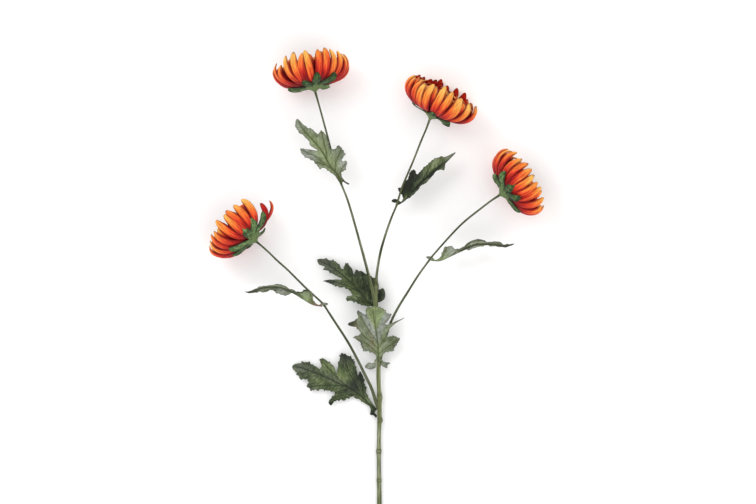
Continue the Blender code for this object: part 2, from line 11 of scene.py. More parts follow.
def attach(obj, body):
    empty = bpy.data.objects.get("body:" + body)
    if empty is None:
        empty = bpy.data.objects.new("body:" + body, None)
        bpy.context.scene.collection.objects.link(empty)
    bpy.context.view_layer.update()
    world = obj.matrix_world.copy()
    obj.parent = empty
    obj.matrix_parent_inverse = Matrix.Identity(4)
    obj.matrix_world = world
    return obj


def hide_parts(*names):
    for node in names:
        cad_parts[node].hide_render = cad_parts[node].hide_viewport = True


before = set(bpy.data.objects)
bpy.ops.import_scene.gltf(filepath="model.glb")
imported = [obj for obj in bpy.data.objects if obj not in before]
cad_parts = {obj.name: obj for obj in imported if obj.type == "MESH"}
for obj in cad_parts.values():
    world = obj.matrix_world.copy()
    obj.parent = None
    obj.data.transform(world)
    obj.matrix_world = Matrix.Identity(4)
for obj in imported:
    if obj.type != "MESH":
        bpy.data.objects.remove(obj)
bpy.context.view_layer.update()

# Lengths are in millimetres, the spray's length along +Y, the floor at z = 0.
MM = 0.001
UP = np.array([0.0, 0.0, 1.0])
TURN = 2 * math.pi
# Below this height, in metres, what rests on the floor is flattened so that nothing dips into it.
REST = 0.0009

# Stem and stalks: x, y, z of the centre line and the radius there.
MAIN_STEM = [
    (2, -282.4, 2.6, 2.6), (2, -216.4, 3, 2.6),
    (1.7, -193.5, 3.3, 2.55), (1.7, -191.1, 3.4, 2.95), (1.7, -188.7, 3.4, 2.55),
    (1.4, -161.6, 3.9, 2.6), (1.4, -159.2, 4, 3.2), (1.5, -156.8, 4, 2.6),
    (2.2, -127.6, 5.1, 2.6), (2.8, -125.1, 5.2, 3.25), (2.3, -122, 5.3, 2.65),
    (2.1, -106, 6.2, 2.65), (2.4, -99.5, 6.5, 3.25), (1.9, -94, 6.9, 2.5),
    (1.2, -80, 8, 2.4), (1.1, -60.2, 9.9, 2.3), (0.1, -30.5, 12.9, 2.4),
    (-1.9, 2.5, 16.4, 2.6), (-2.7, 14, 18, 2.5), (-2.8, 18, 18.5, 1.5),
]
STALKS = {
    "left": [
        (2.1, -115.2, 5.9, 1.5), (-1.7, -105.3, 7.3, 1.85), (-6.1, -91, 9.6, 1.7),
        (-14.9, -72.3, 13, 1.5), (-30.8, -41.5, 19, 1.35), (-49, -12.9, 25.2, 1.25),
        (-57.3, 0.1, 28.1, 1.15), (-58.9, 2.5, 28.6, 1.4), (-60.7, 4.6, 29.1, 1.15),
        (-79.8, 22.3, 35.5, 1.1), (-98.5, 41, 41.3, 1.05), (-109.5, 50.9, 44, 1.05),
        (-120.5, 61.5, 45.6, 1.05), (-128.7, 68.7, 45.4, 1.1),
    ],
    "top_left": [
        (-2, 2.5, 16.6, 1.6), (-4.2, 14, 19, 2), (-6.9, 24.5, 20.4, 1.8), (-9.4, 34, 21.6, 1.6),
        (-17.1, 63, 25, 1.4), (-32.9, 118, 32, 1.2), (-39.3, 134.2, 34, 1.15),
        (-40.2, 136.7, 34.3, 1.4), (-41.1, 139.1, 34.6, 1.15), (-44.6, 148.8, 35.8, 1.1),
        (-55.6, 190.6, 40.2, 1.05), (-65.9, 228, 41.8, 1.05),
    ],
    "top_right": [
        (-1.6, 8, 17.2, 1.6), (-1.4, 17, 18.6, 2.2), (-1.2, 23.5, 19.3, 2.7), (-1.3, 28, 19.6, 1.9),
        (-1, 34.4, 19.9, 1.5), (3.9, 63, 21.5, 1.4), (14.4, 96, 24, 1.2),
        (20.7, 111.3, 25, 1.15), (21.5, 113.6, 25.2, 1.4), (22.2, 116, 25.4, 1.15),
        (26.7, 131.2, 26.2, 1.1), (33.6, 147.7, 27.2, 1.1), (39.7, 162, 29.2, 1.05),
        (48.4, 184, 31.4, 1.05), (54, 197.2, 32.8, 1.05),
    ],
    "right": [
        (1.3, -71.2, 9.2, 1.3), (3.4, -58, 11, 1.5), (8.2, -36, 14.5, 1.4),
        (14.9, -16.2, 18, 1.35), (21.9, -1.9, 20.5, 1.3), (34.7, 19, 24.5, 1.25),
        (45.1, 35.5, 27.4, 1.15), (55.9, 50.5, 30, 1.15), (57.4, 52.6, 30.3, 1.4),
        (58.9, 54.6, 30.7, 1.15), (91.4, 90.5, 37.2, 1.1), (112.8, 108.1, 39.8, 1.05),
        (126, 118, 40.6, 1.05),
    ],
}

STALK_END = 1.35
STEM_RIBS = 0.02
# How much darker each stalk is drawn.
STALK_SHADE = {"left": 0.75, "top_left": 0.4, "top_right": 0.3, "right": 0.6}

# Flower heads: base, heading and rise of the axis in degrees, how wide the head spreads, seed.
# Angles round the axis are in degrees, -90 on the upper side: the thin sector, the loose petals
# left in it (angle, reach, height, roll) and the sepals (angle, reach and height against the
# curve below, curl of an edge).
HEADS = {
    "left": dict(
        base=(-134.2, 73.4, 43.6), heading=136.2, rise=-15, spread=0.95, seed=11,
        thin=(-42, 78), loose=[(6, 0.8, 1.6, 0), (36, 1.4, 11, -35)],
        sepals=[(-39, 1.15, 1, 2), (-63, 1.05, 1.3, 0.8), (-90, 1.05, 1.2, 0),
                 (-139, 1.08, 0.8, 2), (180, 0.78, 0.62, 1.5), (115, 0.84, 0.72, 0),
                 (55, 0.84, 0.72, 0)]),
    "top_left": dict(
        base=(-68.8, 239, 40.75), heading=99.5, rise=-9, spread=0.94, seed=23,
        sepals=[(-45, 1.14, 1.08, 2.5), (-80, 1.08, 1.16, 0), (-113, 0.8, 0.65, 1),
                 (178, 0.78, 0.6, 3), (130, 0.84, 0.72, 0), (80, 0.84, 0.72, 0),
                 (25, 0.4, 0.2, 3)]),
    "top_right": dict(
        base=(58.5, 208.8, 34.1), heading=63, rise=7, spread=0.98, seed=37,
        sepals=[(-35, 0.72, 0.5, 4.5), (-90, 0.84, 0.72, 0), (-172, 0.64, 0.56, 1.6),
                 (150, 0.84, 0.72, 0), (104, 0.84, 0.72, 0), (60, 0.84, 0.72, 0),
                 (15, 0.5, 0.35, 0)]),
    "right": dict(
        base=(135.9, 124.4, 39.65), heading=31.9, rise=-8, spread=0.88, seed=41,
        sepals=[(-12, 0.82, 0.66, 2), (-65, 1.2, 1.05, 1), (-92, 1.1, 1.28, 0),
                 (-124, 1.2, 1.2, 1.5), (-165, 0.62, 0.45, 3), (120, 0.84, 0.72, 0),
                 (50, 0.84, 0.72, 0)]),
}
# How far petals above and below the axis are drawn in, and how much taller they stand there: the
# outermost row, the next one, and the rest.
PRESS = 0.17
LIFT = [0.32, 0.16, 0]

# Petal rows, outermost first: how many, width, and the control points (radius, height).
PETAL_ROWS = [
    dict(count=24, width=10.2, curve=[(9.5, 6.8), (30, 5.5), (48, 15.5), (40, 32)]),
    dict(count=22, width=9.6, curve=[(9, 9), (27, 9.5), (42, 19.5), (35, 32.5)]),
    dict(count=17, width=9.2, curve=[(8, 12), (23, 14), (36, 23.5), (29, 33)]),
    dict(count=13, width=8.6, curve=[(7, 14), (18, 19), (28, 26), (22, 33)]),
    dict(count=9, width=8, curve=[(5, 16), (13, 22), (20.5, 28), (15, 32.5)]),
    dict(count=6, width=7.4, curve=[(3, 17.5), (8, 24), (12.5, 29.5), (8, 32)]),
    dict(count=3, width=5.5, curve=[(1, 18), (3, 24), (5, 29), (2.5, 31.5)]),
]
LOOSE_ROW = dict(width=8.6, curve=[(9.5, 6.8), (24, 8), (42, 8), (43, 20)])
PETAL_JITTER = dict(angle=0.2, reach=1.8, low=-3.4, high=2.4, lean=2, roll=14)
THINNED_ROWS = 5
PETAL_ARC = math.radians(62.0)
PETAL_CUP = 2.7
PETAL_THICK = 0.5
PETAL_EDGE = 0.26
PETAL_RIBS = 0.13
PETAL_RIPPLE = 0.28
# Rows and columns of mesh points on a petal of the outer rows, and on one further in.
FINE_ROWS = 3
PETAL_GRID = (22, 13)
INNER_GRID = (16, 11)

# Core of a head and cup of its calyx: outlines (radius, height) turned round the head's axis.
CORE = [(0, 1.5), (4, 2), (9, 4.5), (13, 8.5), (14, 11.5), (11.5, 15.5), (6.5, 19.5), (0, 21)]
CUP = [
    (0, -2.6), (1.5, -2.6), (1.75, -2.2), (2, -1.5), (3, -0.7), (5, 0.5), (7.5, 1.9), (9.9, 3.2),
    (9.7, 3.8), (9.2, 4.15), (6.6, 3), (4.1, 1.6), (0, 1.1),
]
CUP_FOOT = 2.6
SEAT_GAP = 0.3
SEPAL_WIDTH = 9.6
SEPAL_THICK = 0.42
SEPAL_GRID = (18, 13)
# Width of a sepal along its length, both as shares.
SEPAL_OUTLINE = [(0, 0.66), (0.25, 0.9), (0.5, 1), (0.72, 0.96), (0.88, 0.72), (0.96, 0.46), (1, 0.12)]
SEPAL_CURVE = [(7.5, 2.5), (14.5, 3.8), (21.5, 4.4), (29.5, 5.4), (36.5, 9.2)]

# Leaves: the middle vein's line; roll of the blade and fold of each half at root and tip, in
# degrees; span, the shares of the length between which both turn, or the whole leaf; the outline as
# distance along the vein and to its left; how deep its teeth are; and its side veins, each with
# its start on the middle vein and the place of its end. The middle vein is printed dark up to
# rib_end. pale, green, grey and brown are soft spots: place along and to the left, reach
# along and across, amount. green, grey and brown tint the cloth, save leaf_front's green band, which
# is painted light. pale is partly paler and darker patches of the cloth and partly painted light and
# shade; its strongly negative spots are painted shade where the blade folds or turns away. With
# _vee they are bands in a V round the middle vein: start, slope, depth, amount.
SIDE_LEAF = dict(
    outline=[
        (0, 1), (0.6, 2.7), (-4.6, 3.3), (-5.6, 5.6), (-1.5, 6.2), (1.8, 4.4), (4, 2), (8, 3.4), (12, 6),
        (15, 10), (20, 14.5), (25, 13), (29, 7), (34, 5.5), (38, 12), (44, 18), (50, 19), (57, 17),
        (60, 12), (64, 9.5), (68, 12), (73, 12), (76, 8), (83, 5.5), (92, 0), (84, -5.5), (77, -7.5),
        (75, -12), (69, -12.5), (64, -9.5), (60, -11), (57, -16), (51, -19), (45, -18.5), (39, -12),
        (35, -6.5), (30, -7), (27, -13), (21, -15), (16, -11), (12, -6.5), (8, -3.4), (4, -2), (1.8, -4.4),
        (-1.5, -6), (-5.4, -5.4), (-4.4, -3.3), (0.6, -2.7), (0, -1)],
    teeth=0.5, rib_end=90,
    veins=[(8, 21, 13), (22, 49, 18), (50, 72, 11), (8, 22, -14), (22, 50, -18), (50, 72, -11)],
)
LEAVES = {
    "leaf_top_left": dict(
        vein=[(-39.7, 136.6, 36.5), (-44.1, 145.9, 39.6), (-51.8, 155, 42.6), (-60.3, 170.4, 45),
              (-73.6, 186.6, 46), (-82.5, 196.6, 45), (-88.3, 207, 43)],
        roll=(0, 0), fold=(-14, -8), back_up=True,
        teeth=0.6,
        outline=[
            (0, 1), (4, 2.2), (11, 3.2), (19, 5), (24, 7), (26, 12), (32, 13), (42, 16), (48, 19), (54, 19),
            (59, 17), (51, 9), (45, 3.5), (55, 6), (58, 4.5), (67, 4.5), (77, 6), (83, 4), (86.2, 0),
            (76, -3.5), (72, -5), (65, -8), (59, -8), (59, -14), (51, -15), (48, -14), (39, -9.5),
            (37, -13), (37, -20), (33, -21), (24, -21), (18, -14), (15, -17), (13, -16), (10, -11), (9, -5),
            (6, -3.2), (3.4, -3.8), (-0.4, -5), (-5.2, -8), (-5.4, -6.6), (-1.4, -3.6), (0.4, -2.4),
            (0, -1)],
        veins=[(16, 58, 17), (22, 33, 11), (14, 34, -20), (30, 57, -13), (10, 14, -15)], rib_end=90,
        pale=[(4, 0, 8, 5, -0.45), (-3, -6, 6, 4, -0.9), (14, -13, 7, 6, 0.3), (54, 16, 12, 6, 0.15),
              (68, 0, 8, 5, -0.15), (82, 0, 9, 8, 0.2), (34, -19, 8, 5, -0.25)],
        green=[(38, 0, 24, 8, 0.9), (60, 0, 12, 4, 0.5), (22, -6, 8, 6, 0.5)],
        grey=[(48, 15, 18, 8, 0.9), (14, -14, 7, 7, 0.9), (34, -20, 10, 6, 0.5), (80, 0, 10, 6, 0.4)],
    ),
    "leaf_top_right": dict(
        vein=[(22.8, 113.1, 23.4), (29.6, 117.5, 24.6), (38.5, 127, 26.2), (48, 137, 27.4),
              (58.5, 147, 27.4), (71, 158.5, 26.2), (86, 170.6, 23.5)],
        roll=(-55, -34), fold=(35, 18),
        teeth=0.5,
        outline=[
            (0, 1), (0.6, 2.9), (-2.5, 4), (-5, 8), (-1, 8.4), (2.6, 4.6), (4, 1.5), (8.7, 3.8), (10, 12),
            (12.5, 16.5), (17, 13), (23, 16), (28, 15), (33, 18.5), (39.5, 18.5), (39, 11), (46, 11.2),
            (54, 11), (62, 10.7), (70, 7.5), (74, 3.6), (86, 0), (76, -3), (69, -5), (63, -12), (57, -5),
            (52, -5), (47, -8), (42, -9), (36, -8), (32, -6), (27, -9), (20, -11), (15, -8), (12, -3),
            (8, -1.6), (4.4, -1.6), (3.8, -3.6), (2.6, -5.4), (1.8, -4.2), (2, -1.6), (0, -1)],
        veins=[(8, 14, 12), (12, 38, 17), (34, 62, 10), (10, 22, -12), (22, 45, -16), (40, 62, -12)],
        rib_end=60,
        pale=[(80, 0, 12, 5, 0.9), (64, 8, 10, 5, 0.45), (52, 4, 8, 4, 0.15), (20, 12, 14, 9, -1.2),
              (36, 14, 6, 8, -1), (42, -1, 18, 2, -0.9), (58, -3, 12, 2.5, -0.8), (4, 0, 7, 5, 0.5),
              (12, 2, 5, 3, 0.4), (-3, 6, 6, 5, -1.2), (3, -5, 3, 2, -1.2), (14, 15, 5, 4, -1.2),
              (34, 4, 8, 3, 0.2)],
        green=[(54, 6, 14, 6, 0.8), (12, 4, 6, 4, 0.6), (66, 3, 8, 5, 0.3)],
        grey=[(80, 0, 10, 4, 0.4), (40, 6, 10, 5, 0.4)],
    ),
    "leaf_right": dict(
        SIDE_LEAF,
        vein=[(58.8, 51.5, 30.3), (68.8, 51.3, 30.8), (78.7, 55.5, 31.5), (97.4, 64.3, 32.5),
              (107.3, 68.3, 32.5), (124.9, 69.4, 31), (140.8, 67.2, 28.5), (150.8, 69.7, 27)],
        roll=(-90, -103), fold=(52, 4), span=(0.30, 0.46),
        # pale here is mostly painted shade, dark along the fold and on the half that turns away, with a
        # little painted light.
        pale=[(14, 0, 8, 9, 0.2), (24, 0, 7, 14, 0.2), (58, 0, 22, 4, -1.4), (58, -14, 20, 5, -0.6),
              (86, 0, 12, 6, -1.2), (38, 0, 6, 5, -1), (56, -7, 16, 2, 0.4)],
        green=[(4, 0, 8, 6, 1), (16, 0, 8, 9, 0.7), (58, 10, 16, 6, 0.5)],
        grey=[(25, 0, 7, 16, 0.7), (45, 16, 8, 8, 0.8)],
    ),
    "leaf_left": dict(
        SIDE_LEAF,
        vein=[(-60.6, 0.9, 28.6), (-71, 2.9, 28.6), (-80.9, 8.4, 29.4), (-93, 16, 30.2),
              (-106.6, 21.8, 30.2), (-118.3, 22.6, 29.4), (-126, 21.6, 28.4),
              (-141.4, 16.8, 25.6), (-145.8, 17, 24.8)],
        roll=(90, 106), fold=(55, -9), span=(0.31, 0.46),
        # pale here is mostly painted shade, dark along the fold and on the half that turns away, with a
        # little painted light.
        pale=[(20, 0, 9, 10, 0.1), (38, 0, 8, 4, -1), (62, 0, 24, 3, -1.6), (88, 0, 10, 5, -1.2),
              (46, -15, 10, 7, 0.15), (62, -9, 12, 4, -0.5), (62, 9, 18, 3, 0.3)],
        green=[(20, 0, 12, 14, 0.9), (64, 9, 16, 5, 0.4)],
        grey=[(46, -15, 9, 9, 0.9), (0, 0, 4, 12, 0.4), (62, -9, 14, 4, 0.4)],
        brown=[(5, 0, 7, 5, 1)],
    ),
    "leaf_fork": dict(
        vein=[(-3.2, 1, 12.9), (-12.7, 8, 12.4), (-21.5, 19, 11.8), (-34.7, 32.2, 11),
              (-49, 43.2, 9.5), (-66.4, 52.4, 7)],
        roll=(12, 2), fold=(2, 8),
        outline=[
            (0, 1), (3, 2), (7, 6), (15, 10), (20, 15), (26, 18), (28, 15), (26, 8), (36, 9), (46, 15),
            (57, 17), (63, 18), (56, 12), (46, 4), (58, 6), (66, 6), (71, 7), (70, 3.5), (77, 4), (81.2, 0),
            (71, -6), (62, -8), (53, -6), (54, -13), (48, -13), (41, -10), (42, -14), (36, -17), (31, -20),
            (25, -22), (15, -19), (9, -17), (4, -22), (-1, -19), (-4, -13), (-2, -7), (2.5, -3), (0, -1)],
        teeth=0.9,
        veins=[(5, 26, 16), (22, 61, 17), (30, 53, -12), (10, 36, -16), (4, 24, -20), (2, 3, -19)],
        rib_end=90,
        pale=[(28, -8, 10, 8, -0.35), (6, -12, 10, 7, -0.4), (74, 0, 14, 8, 0.2), (22, 12, 10, 7, 0.15),
              (60, 16, 9, 5, -0.25), (46, -12, 8, 5, -0.2), (50, 12, 8, 6, 0.1)],
        green=[(33, 3, 12, 8, 0.9), (8, 4, 9, 6, 0.5), (52, -8, 7, 5, 0.4)],
        grey=[(74, 0, 14, 8, 0.9), (55, 14, 14, 7, 0.8), (48, -13, 8, 5, 0.5), (-2, -16, 8, 6, 0.4),
              (40, -15, 8, 5, 0.5), (62, 3, 10, 4, 0.4)],
    ),
    "leaf_front": dict(
        vein=[(1.1, -59.7, 13), (0.8, -49.2, 16.5), (0.1, -37.1, 20), (-1.7, -25, 23.5),
              (-2.2, -11.8, 26.5), (-2.2, 1.4, 28)],
        roll=(0, 0), fold=(-12, -10), back_up=True,
        outline=[
            (0, 1), (0, 2.9), (-5.4, 2.9), (-8.4, 4.6), (-9.8, 8.6), (-9.4, 12), (-7.2, 15.6), (-4.4, 13.8),
            (-2.2, 11), (-2.6, 8), (-2.2, 5.2), (1.5, 4.2), (3.5, 1.6), (8, 4), (10, 9), (12, 17),
            (17, 18.5), (24, 21), (30, 26), (32, 18), (38, 22), (41, 32), (48, 20), (56, 20.5), (52, 11),
            (57, 11), (60, 8), (61.2, 0), (60, -5), (58, -10), (55, -12), (51, -18), (40, -10.5), (47, -33),
            (40, -21), (26, -12), (25, -20), (21, -25), (17, -21), (10, -16), (9, -8), (5, -4), (3, -1.6),
            (1.6, -4.2), (-0.8, -5.2), (-1.8, -8.4), (-3.4, -13.2), (-5.4, -10.4), (-9, -9.4), (-7.4, -6.2),
            (-4.8, -3.2), (0, -2.9), (0, -1)],
        teeth=0.75,
        veins=[(8, 28, 23), (14, 42, 28), (20, 50, 17), (34, 57, 3), (14, 46, -30), (8, 21, -22)],
        rib_end=34,
        pale=[(43, 30, 5, 7, -1.6), (47, -31, 6, 6, -1), (13, 0, 9, 4, 0.2), (20, 20, 10, 6, -0.35),
              (18, -20, 9, 7, -0.35), (34, 24, 8, 4, -0.3), (-5, 10, 5, 6, 0.1), (-4, -9, 5, 5, -0.2),
              (57, 17, 5, 5, -0.7)],
        green=[(12, 0, 12, 4, 0.8), (-2, 3, 3, 2, 0.8), (-2, -4, 3, 2, 0.8), (30, -14, 8, 4, 0.4)],
        brown=[(22, 6, 10, 2.5, 0.25), (36, 22, 8, 3, 0.3)],
        # green_vee is painted light: the band between the upper side veins is drawn greener and brighter
        # where the blade tilts to the lamp.
        green_vee=[(34, 1.9, 40, 1)],
        grey=[(-6, 10, 5, 6, 0.7), (-5, -9, 5, 5, 0.7), (24, 22, 12, 5, 0.4), (18, -22, 12, 5, 0.4)],
        grey_vee=[(19, 1.9, 15, 0.9)],
    ),
    "leaf_low": dict(
        vein=[(-1.4, -113.8, 5.1), (-7.3, -108.5, 4.6), (-24.8, -93.2, 4.2), (-44.6, -83.3, 4.5),
              (-63.3, -74.5, 4.8), (-85.2, -66.8, 4), (-94.2, -65.5, 3.2)],
        roll=(0, 0), fold=(3, 6),
        outline=[
            (0, 1.2), (-0.6, 3), (-4.6, 3.8), (-5.6, 6.2), (-1.4, 6.4), (1.6, 8.2), (4.6, 4.2), (8, 1.9),
            (14, 3), (21, 4.6), (29, 6), (36, 13), (47, 20), (50, 27), (53, 23), (52, 12), (65, 15),
            (78, 20), (83, 17), (85, 11), (93, 12), (99, 9), (106.9, 0), (100, -5), (92, -9), (83, -7),
            (76, -7), (81, -17), (67, -16), (63, -13), (59, -10), (63, -23), (64, -31), (52, -33),
            (45, -29), (37, -17), (37, -22), (29, -15), (24, -10), (19, -6.4), (12, -3.6), (3, -1.8),
            (0, -1.2)],
        teeth=0.95,
        veins=[(26, 50, 25), (44, 80, 17), (40, 80, -15), (26, 61, -31), (18, 37, -20)], rib_end=110,
        pale=[(37, -6, 8, 9, -0.45), (62, -31, 9, 6, -0.4), (50, -7, 13, 8, 0.3), (70, -12, 10, 6, 0.25),
              (72, 11, 10, 6, 0.15), (98, 0, 14, 9, 0.15), (15, 0, 14, 5, 0.15), (50, 24, 9, 6, -0.3),
              (36, -17, 8, 6, -0.5), (-2, 5, 6, 5, -0.8)],
        green=[(50, -8, 12, 9, 0.8), (70, -12, 14, 6, 0.7), (72, 11, 10, 7, 0.5), (44, 14, 10, 6, 0.4),
               (20, 0, 12, 6, 0.5)],
        grey=[(100, 0, 12, 8, 0.9), (60, -28, 10, 8, 0.6), (60, -2, 14, 4, 0.7), (36, -4, 8, 9, 0.6),
              (78, 18, 10, 5, 0.5), (86, -2, 10, 6, 0.3)],
    ),
}
LEAF_THICK = 0.5
FOLD_FADE = 2.5
# Breadth over which the fold at the middle vein is rounded.
SOFT_FOLD = 0.8
# Spacing of a leaf's mesh points, and the teeth along its margin.
LEAF_PITCH = 0.95
TOOTH_PITCH = 5.3
TOOTH_DEPTH = 2.3
TOOTH_SINK = 1.3
# How strong a vein to a lobe and a small vein are, next to the middle vein.
LOBE_VEIN = 0.9
SMALL_VEIN = 0.45


# Small helpers for places, curves and meshes.
def unit(vector):
    return vector / np.linalg.norm(vector, axis=-1, keepdims=True)


def rise_over(value, low, high):
    """0 below low, 1 above high, and a smooth step between them."""
    share = np.clip((value - low) / (high - low), 0.0, 1.0)
    return share * share * (3 - 2 * share)


def bell(distance, breadth):
    """1 at no distance, and next to nothing at twice the breadth."""
    return np.exp(-(distance / breadth) ** 2)


def part_way(t, one, two, start, end):
    """The place at t on a line that is at one for start and at two for end."""
    return one * (end - t) / (end - start) + two * (t - start) / (end - start)


def smooth_line(points, step, closed=False):
    """Points about so far apart on a smooth curve through all the given ones."""
    knots = [np.array(point, float) for point in points]
    if closed:
        knots = [knots[-1]] + knots + [knots[0], knots[1]]
    else:
        knots = [2 * knots[0] - knots[1]] + knots + [2 * knots[-1] - knots[-2]]
    line = []
    for a, b, c, d in zip(knots, knots[1:], knots[2:], knots[3:]):
        times = [0.0]
        for one, two in ((a, b), (b, c), (c, d)):
            times.append(times[-1] + max(float(np.linalg.norm(two - one)), 1e-6) ** 0.5)
        t0, t1, t2, t3 = times
        count = max(1, int(round(float(np.linalg.norm(c - b)) / step)))
        for index in range(count):
            t = t1 + (t2 - t1) * index / count
            ab = part_way(t, a, b, t0, t1)
            bc = part_way(t, b, c, t1, t2)
            cd = part_way(t, c, d, t2, t3)
            abc = part_way(t, ab, bc, t0, t2)
            bcd = part_way(t, bc, cd, t1, t3)
            line.append(part_way(t, abc, bcd, t1, t2))
    if not closed:
        line.append(knots[-2])
    return np.array(line)


def lengths_of(line):
    steps = np.linalg.norm(np.diff(line, axis=0), axis=1)
    return np.concatenate([[0.0], np.cumsum(steps)])


def distances(points, others):
    """How far each point is from each of the others."""
    return np.linalg.norm(points[:, None] - others[None], axis=2)


def gap_to(points, path):
    """How far each point is from a path."""
    best = np.full(len(points), np.inf)
    for one, two in zip(path[:-1], path[1:]):
        way = two - one
        share = np.clip(((points - one) @ way) / (way @ way), 0.0, 1.0)
        best = np.minimum(best, np.linalg.norm(points - one - share[:, None] * way, axis=1))
    return best


def marked(shape, *values):
    """Three values for each point; each is one number, or follows the points' rows or columns."""
    return np.stack([np.broadcast_to(value, shape) for value in values], axis=-1).reshape(-1, 3)


class Body:
    """Collects points, faces and marks of one piece before it becomes a mesh."""

    def __init__(self, *marks):
        self.points = []
        self.faces = []
        self.marks = {mark: [] for mark in marks}
        self.count = 0

    def add(self, points, faces, **marks):
        self.points.append(np.asarray(points, float).reshape(-1, 3))
        self.faces += [tuple(int(corner) + self.count for corner in face) for face in faces]
        for mark, values in marks.items():
            self.marks[mark].append(values)
        self.count += len(self.points[-1])

    def add_blade(self, outer, inner, petal, skin, silk):
        """A closed blade between two grids of points; skin starts with 0 outside and 1 inside."""
        shape = outer.shape[:2]
        self.add(
            np.concatenate([outer, inner]), sheet_faces(*shape),
            petal=np.concatenate([marked(shape, *petal)] * 2),
            skin=np.concatenate([marked(shape, face, *skin) for face in (0.0, 1.0)]),
            silk=np.concatenate([marked(shape, *silk)] * 2))

    def mesh(self, name, surface, sharp=48.0):
        points = np.concatenate(self.points) * MM
        height = points[:, 2]
        points[:, 2] = np.where(height < REST, REST * np.exp(np.minimum(height / REST - 1, 0)), height)
        made = bpy.data.meshes.new(name)
        made.from_pydata(points.tolist(), [], self.faces, shade_flat=False)
        made.validate()
        made.set_sharp_from_angle(angle=math.radians(sharp))
        for mark, values in self.marks.items():
            layer = made.attributes.new(mark, "FLOAT_VECTOR", "POINT")
            layer.data.foreach_set("vector", np.concatenate(values).astype(np.float32).ravel())
        made.materials.append(surface)
        thing = bpy.data.objects.new(name, made)
        bpy.context.scene.collection.objects.link(thing)
        return thing


def sheet_faces(rows, columns):
    """Faces of a closed sheet: an upper grid, a lower grid and the rim between them."""
    lower = rows * columns
    faces = []
    for i in range(rows - 1):
        for j in range(columns - 1):
            a = i * columns + j
            b = a + columns
            faces += [(a, a + 1, b + 1, b), (lower + a, lower + b, lower + b + 1, lower + a + 1)]
    for i in range(rows - 1):
        a = i * columns
        b = a + columns
        c = a + columns - 1
        d = b + columns - 1
        faces += [(a, b, lower + b, lower + a), (c, lower + c, lower + d, d)]
    for j in range(columns - 1):
        a = (rows - 1) * columns + j
        faces += [(j, lower + j, lower + j + 1, j + 1), (a, a + 1, lower + a + 1, lower + a)]
    return faces


# Node materials.
class Nodes:
    """Builds a material's node tree with plain calls."""

    def __init__(self, name):
        self.material = bpy.data.materials.new(name)
        self.material.use_nodes = True
        self.tree = self.material.node_tree
        self.shader = self.tree.nodes["Principled BSDF"]

    def put(self, socket, value):
        if isinstance(value, bpy.types.NodeSocket):
            self.tree.links.new(value, socket)
        else:
            socket.default_value = value

    def new(self, kind, *values, **settings):
        """A node with its settings made and its first inputs filled."""
        node = self.tree.nodes.new("ShaderNode" + kind)
        for name, setting in settings.items():
            setattr(node, name, setting)
        for socket, value in zip(node.inputs, values):
            self.put(socket, value)
        return node

    def named(self, node, **values):
        """Fills a node's inputs by their names."""
        for name, value in values.items():
            self.put(node.inputs[name], value)
        return node

    def attribute(self, name):
        return self.new("Attribute", attribute_name=name).outputs["Vector"]

    def parts(self, vector):
        return tuple(self.new("SeparateXYZ", vector).outputs)

    def math(self, operation, first, second=0.0, third=0.0, clamp=False):
        return self.new("Math", first, second, third, operation=operation, use_clamp=clamp).outputs[0]

    def times(self, first, second):
        return self.math("MULTIPLY", first, second)

    def swing(self, value, amount, base, clamp=False):
        """A base moved up or down by so much of how far a value is from a half."""
        return self.math("MULTIPLY_ADD", self.math("SUBTRACT", value, 0.5), amount, base, clamp)

    def between(self, value, low, high, start=0.0, end=1.0):
        """A smooth step: start below low, end above high."""
        return self.new("MapRange", value, low, high, start, end, interpolation_type="SMOOTHSTEP").outputs[0]

    def noise(self, vector, scale, detail=2.0, rough=0.5):
        """Noise with its own scale in each direction."""
        scaled = self.new("VectorMath", vector, scale, operation="MULTIPLY").outputs[0]
        node = self.named(self.new("TexNoise", scaled), Scale=1.0, Detail=detail, Roughness=rough)
        return node.outputs["Fac"]

    def ramp(self, value, *stops):
        """A colour ramp; each stop is its place, red, green and blue."""
        node = self.new("ValToRGB", value)
        elements = node.color_ramp.elements
        while len(elements) < len(stops):
            elements.new(0.5)
        for element, (place, *colour) in zip(elements, stops):
            element.position = place
            element.color = (*colour, 1.0)
        return node.outputs[0]

    def mix(self, share, first, second, kind="MIX"):
        node = self.new("Mix", share, data_type="RGBA", blend_type=kind)
        sockets = [socket for socket in node.inputs if socket.type == "RGBA"]
        for socket, value in zip(sockets, (first, second)):
            self.put(socket, value if isinstance(value, bpy.types.NodeSocket) else (*value, 1.0))
        return [socket for socket in node.outputs if socket.type == "RGBA"][0]

    def tinted(self, colour, *coats):
        """A colour turned towards others; each coat is a mark, its amount and the other colour."""
        for mark, amount, other in coats:
            colour = self.mix(self.times(mark, amount), colour, other)
        return colour

    def shaded(self, value, colour):
        """A colour made lighter or darker by a value."""
        grey = self.new("CombineColor", value, value, value).outputs[0]
        return self.mix(1.0, colour, grey, "MULTIPLY")

    def weave(self, coordinates, threads):
        """Height of a plain weave with so many threads to a millimetre."""
        x, y, _ = self.parts(coordinates)
        warp = self.math("SINE", self.times(x, threads * TURN))
        weft = self.math("SINE", self.times(y, threads * TURN))
        return self.times(warp, weft)

    def bump(self, height, distance, strength):
        node = self.named(self.new("Bump"), Distance=distance, Strength=strength, Height=height)
        self.named(self.shader, Normal=node.outputs[0])

    def finish(self, colour, roughness, **fixed):
        self.named(self.shader, **{"Base Color": colour, "Roughness": roughness})
        self.named(self.shader, **{name.replace("_", " "): value for name, value in fixed.items()})
        return self.material


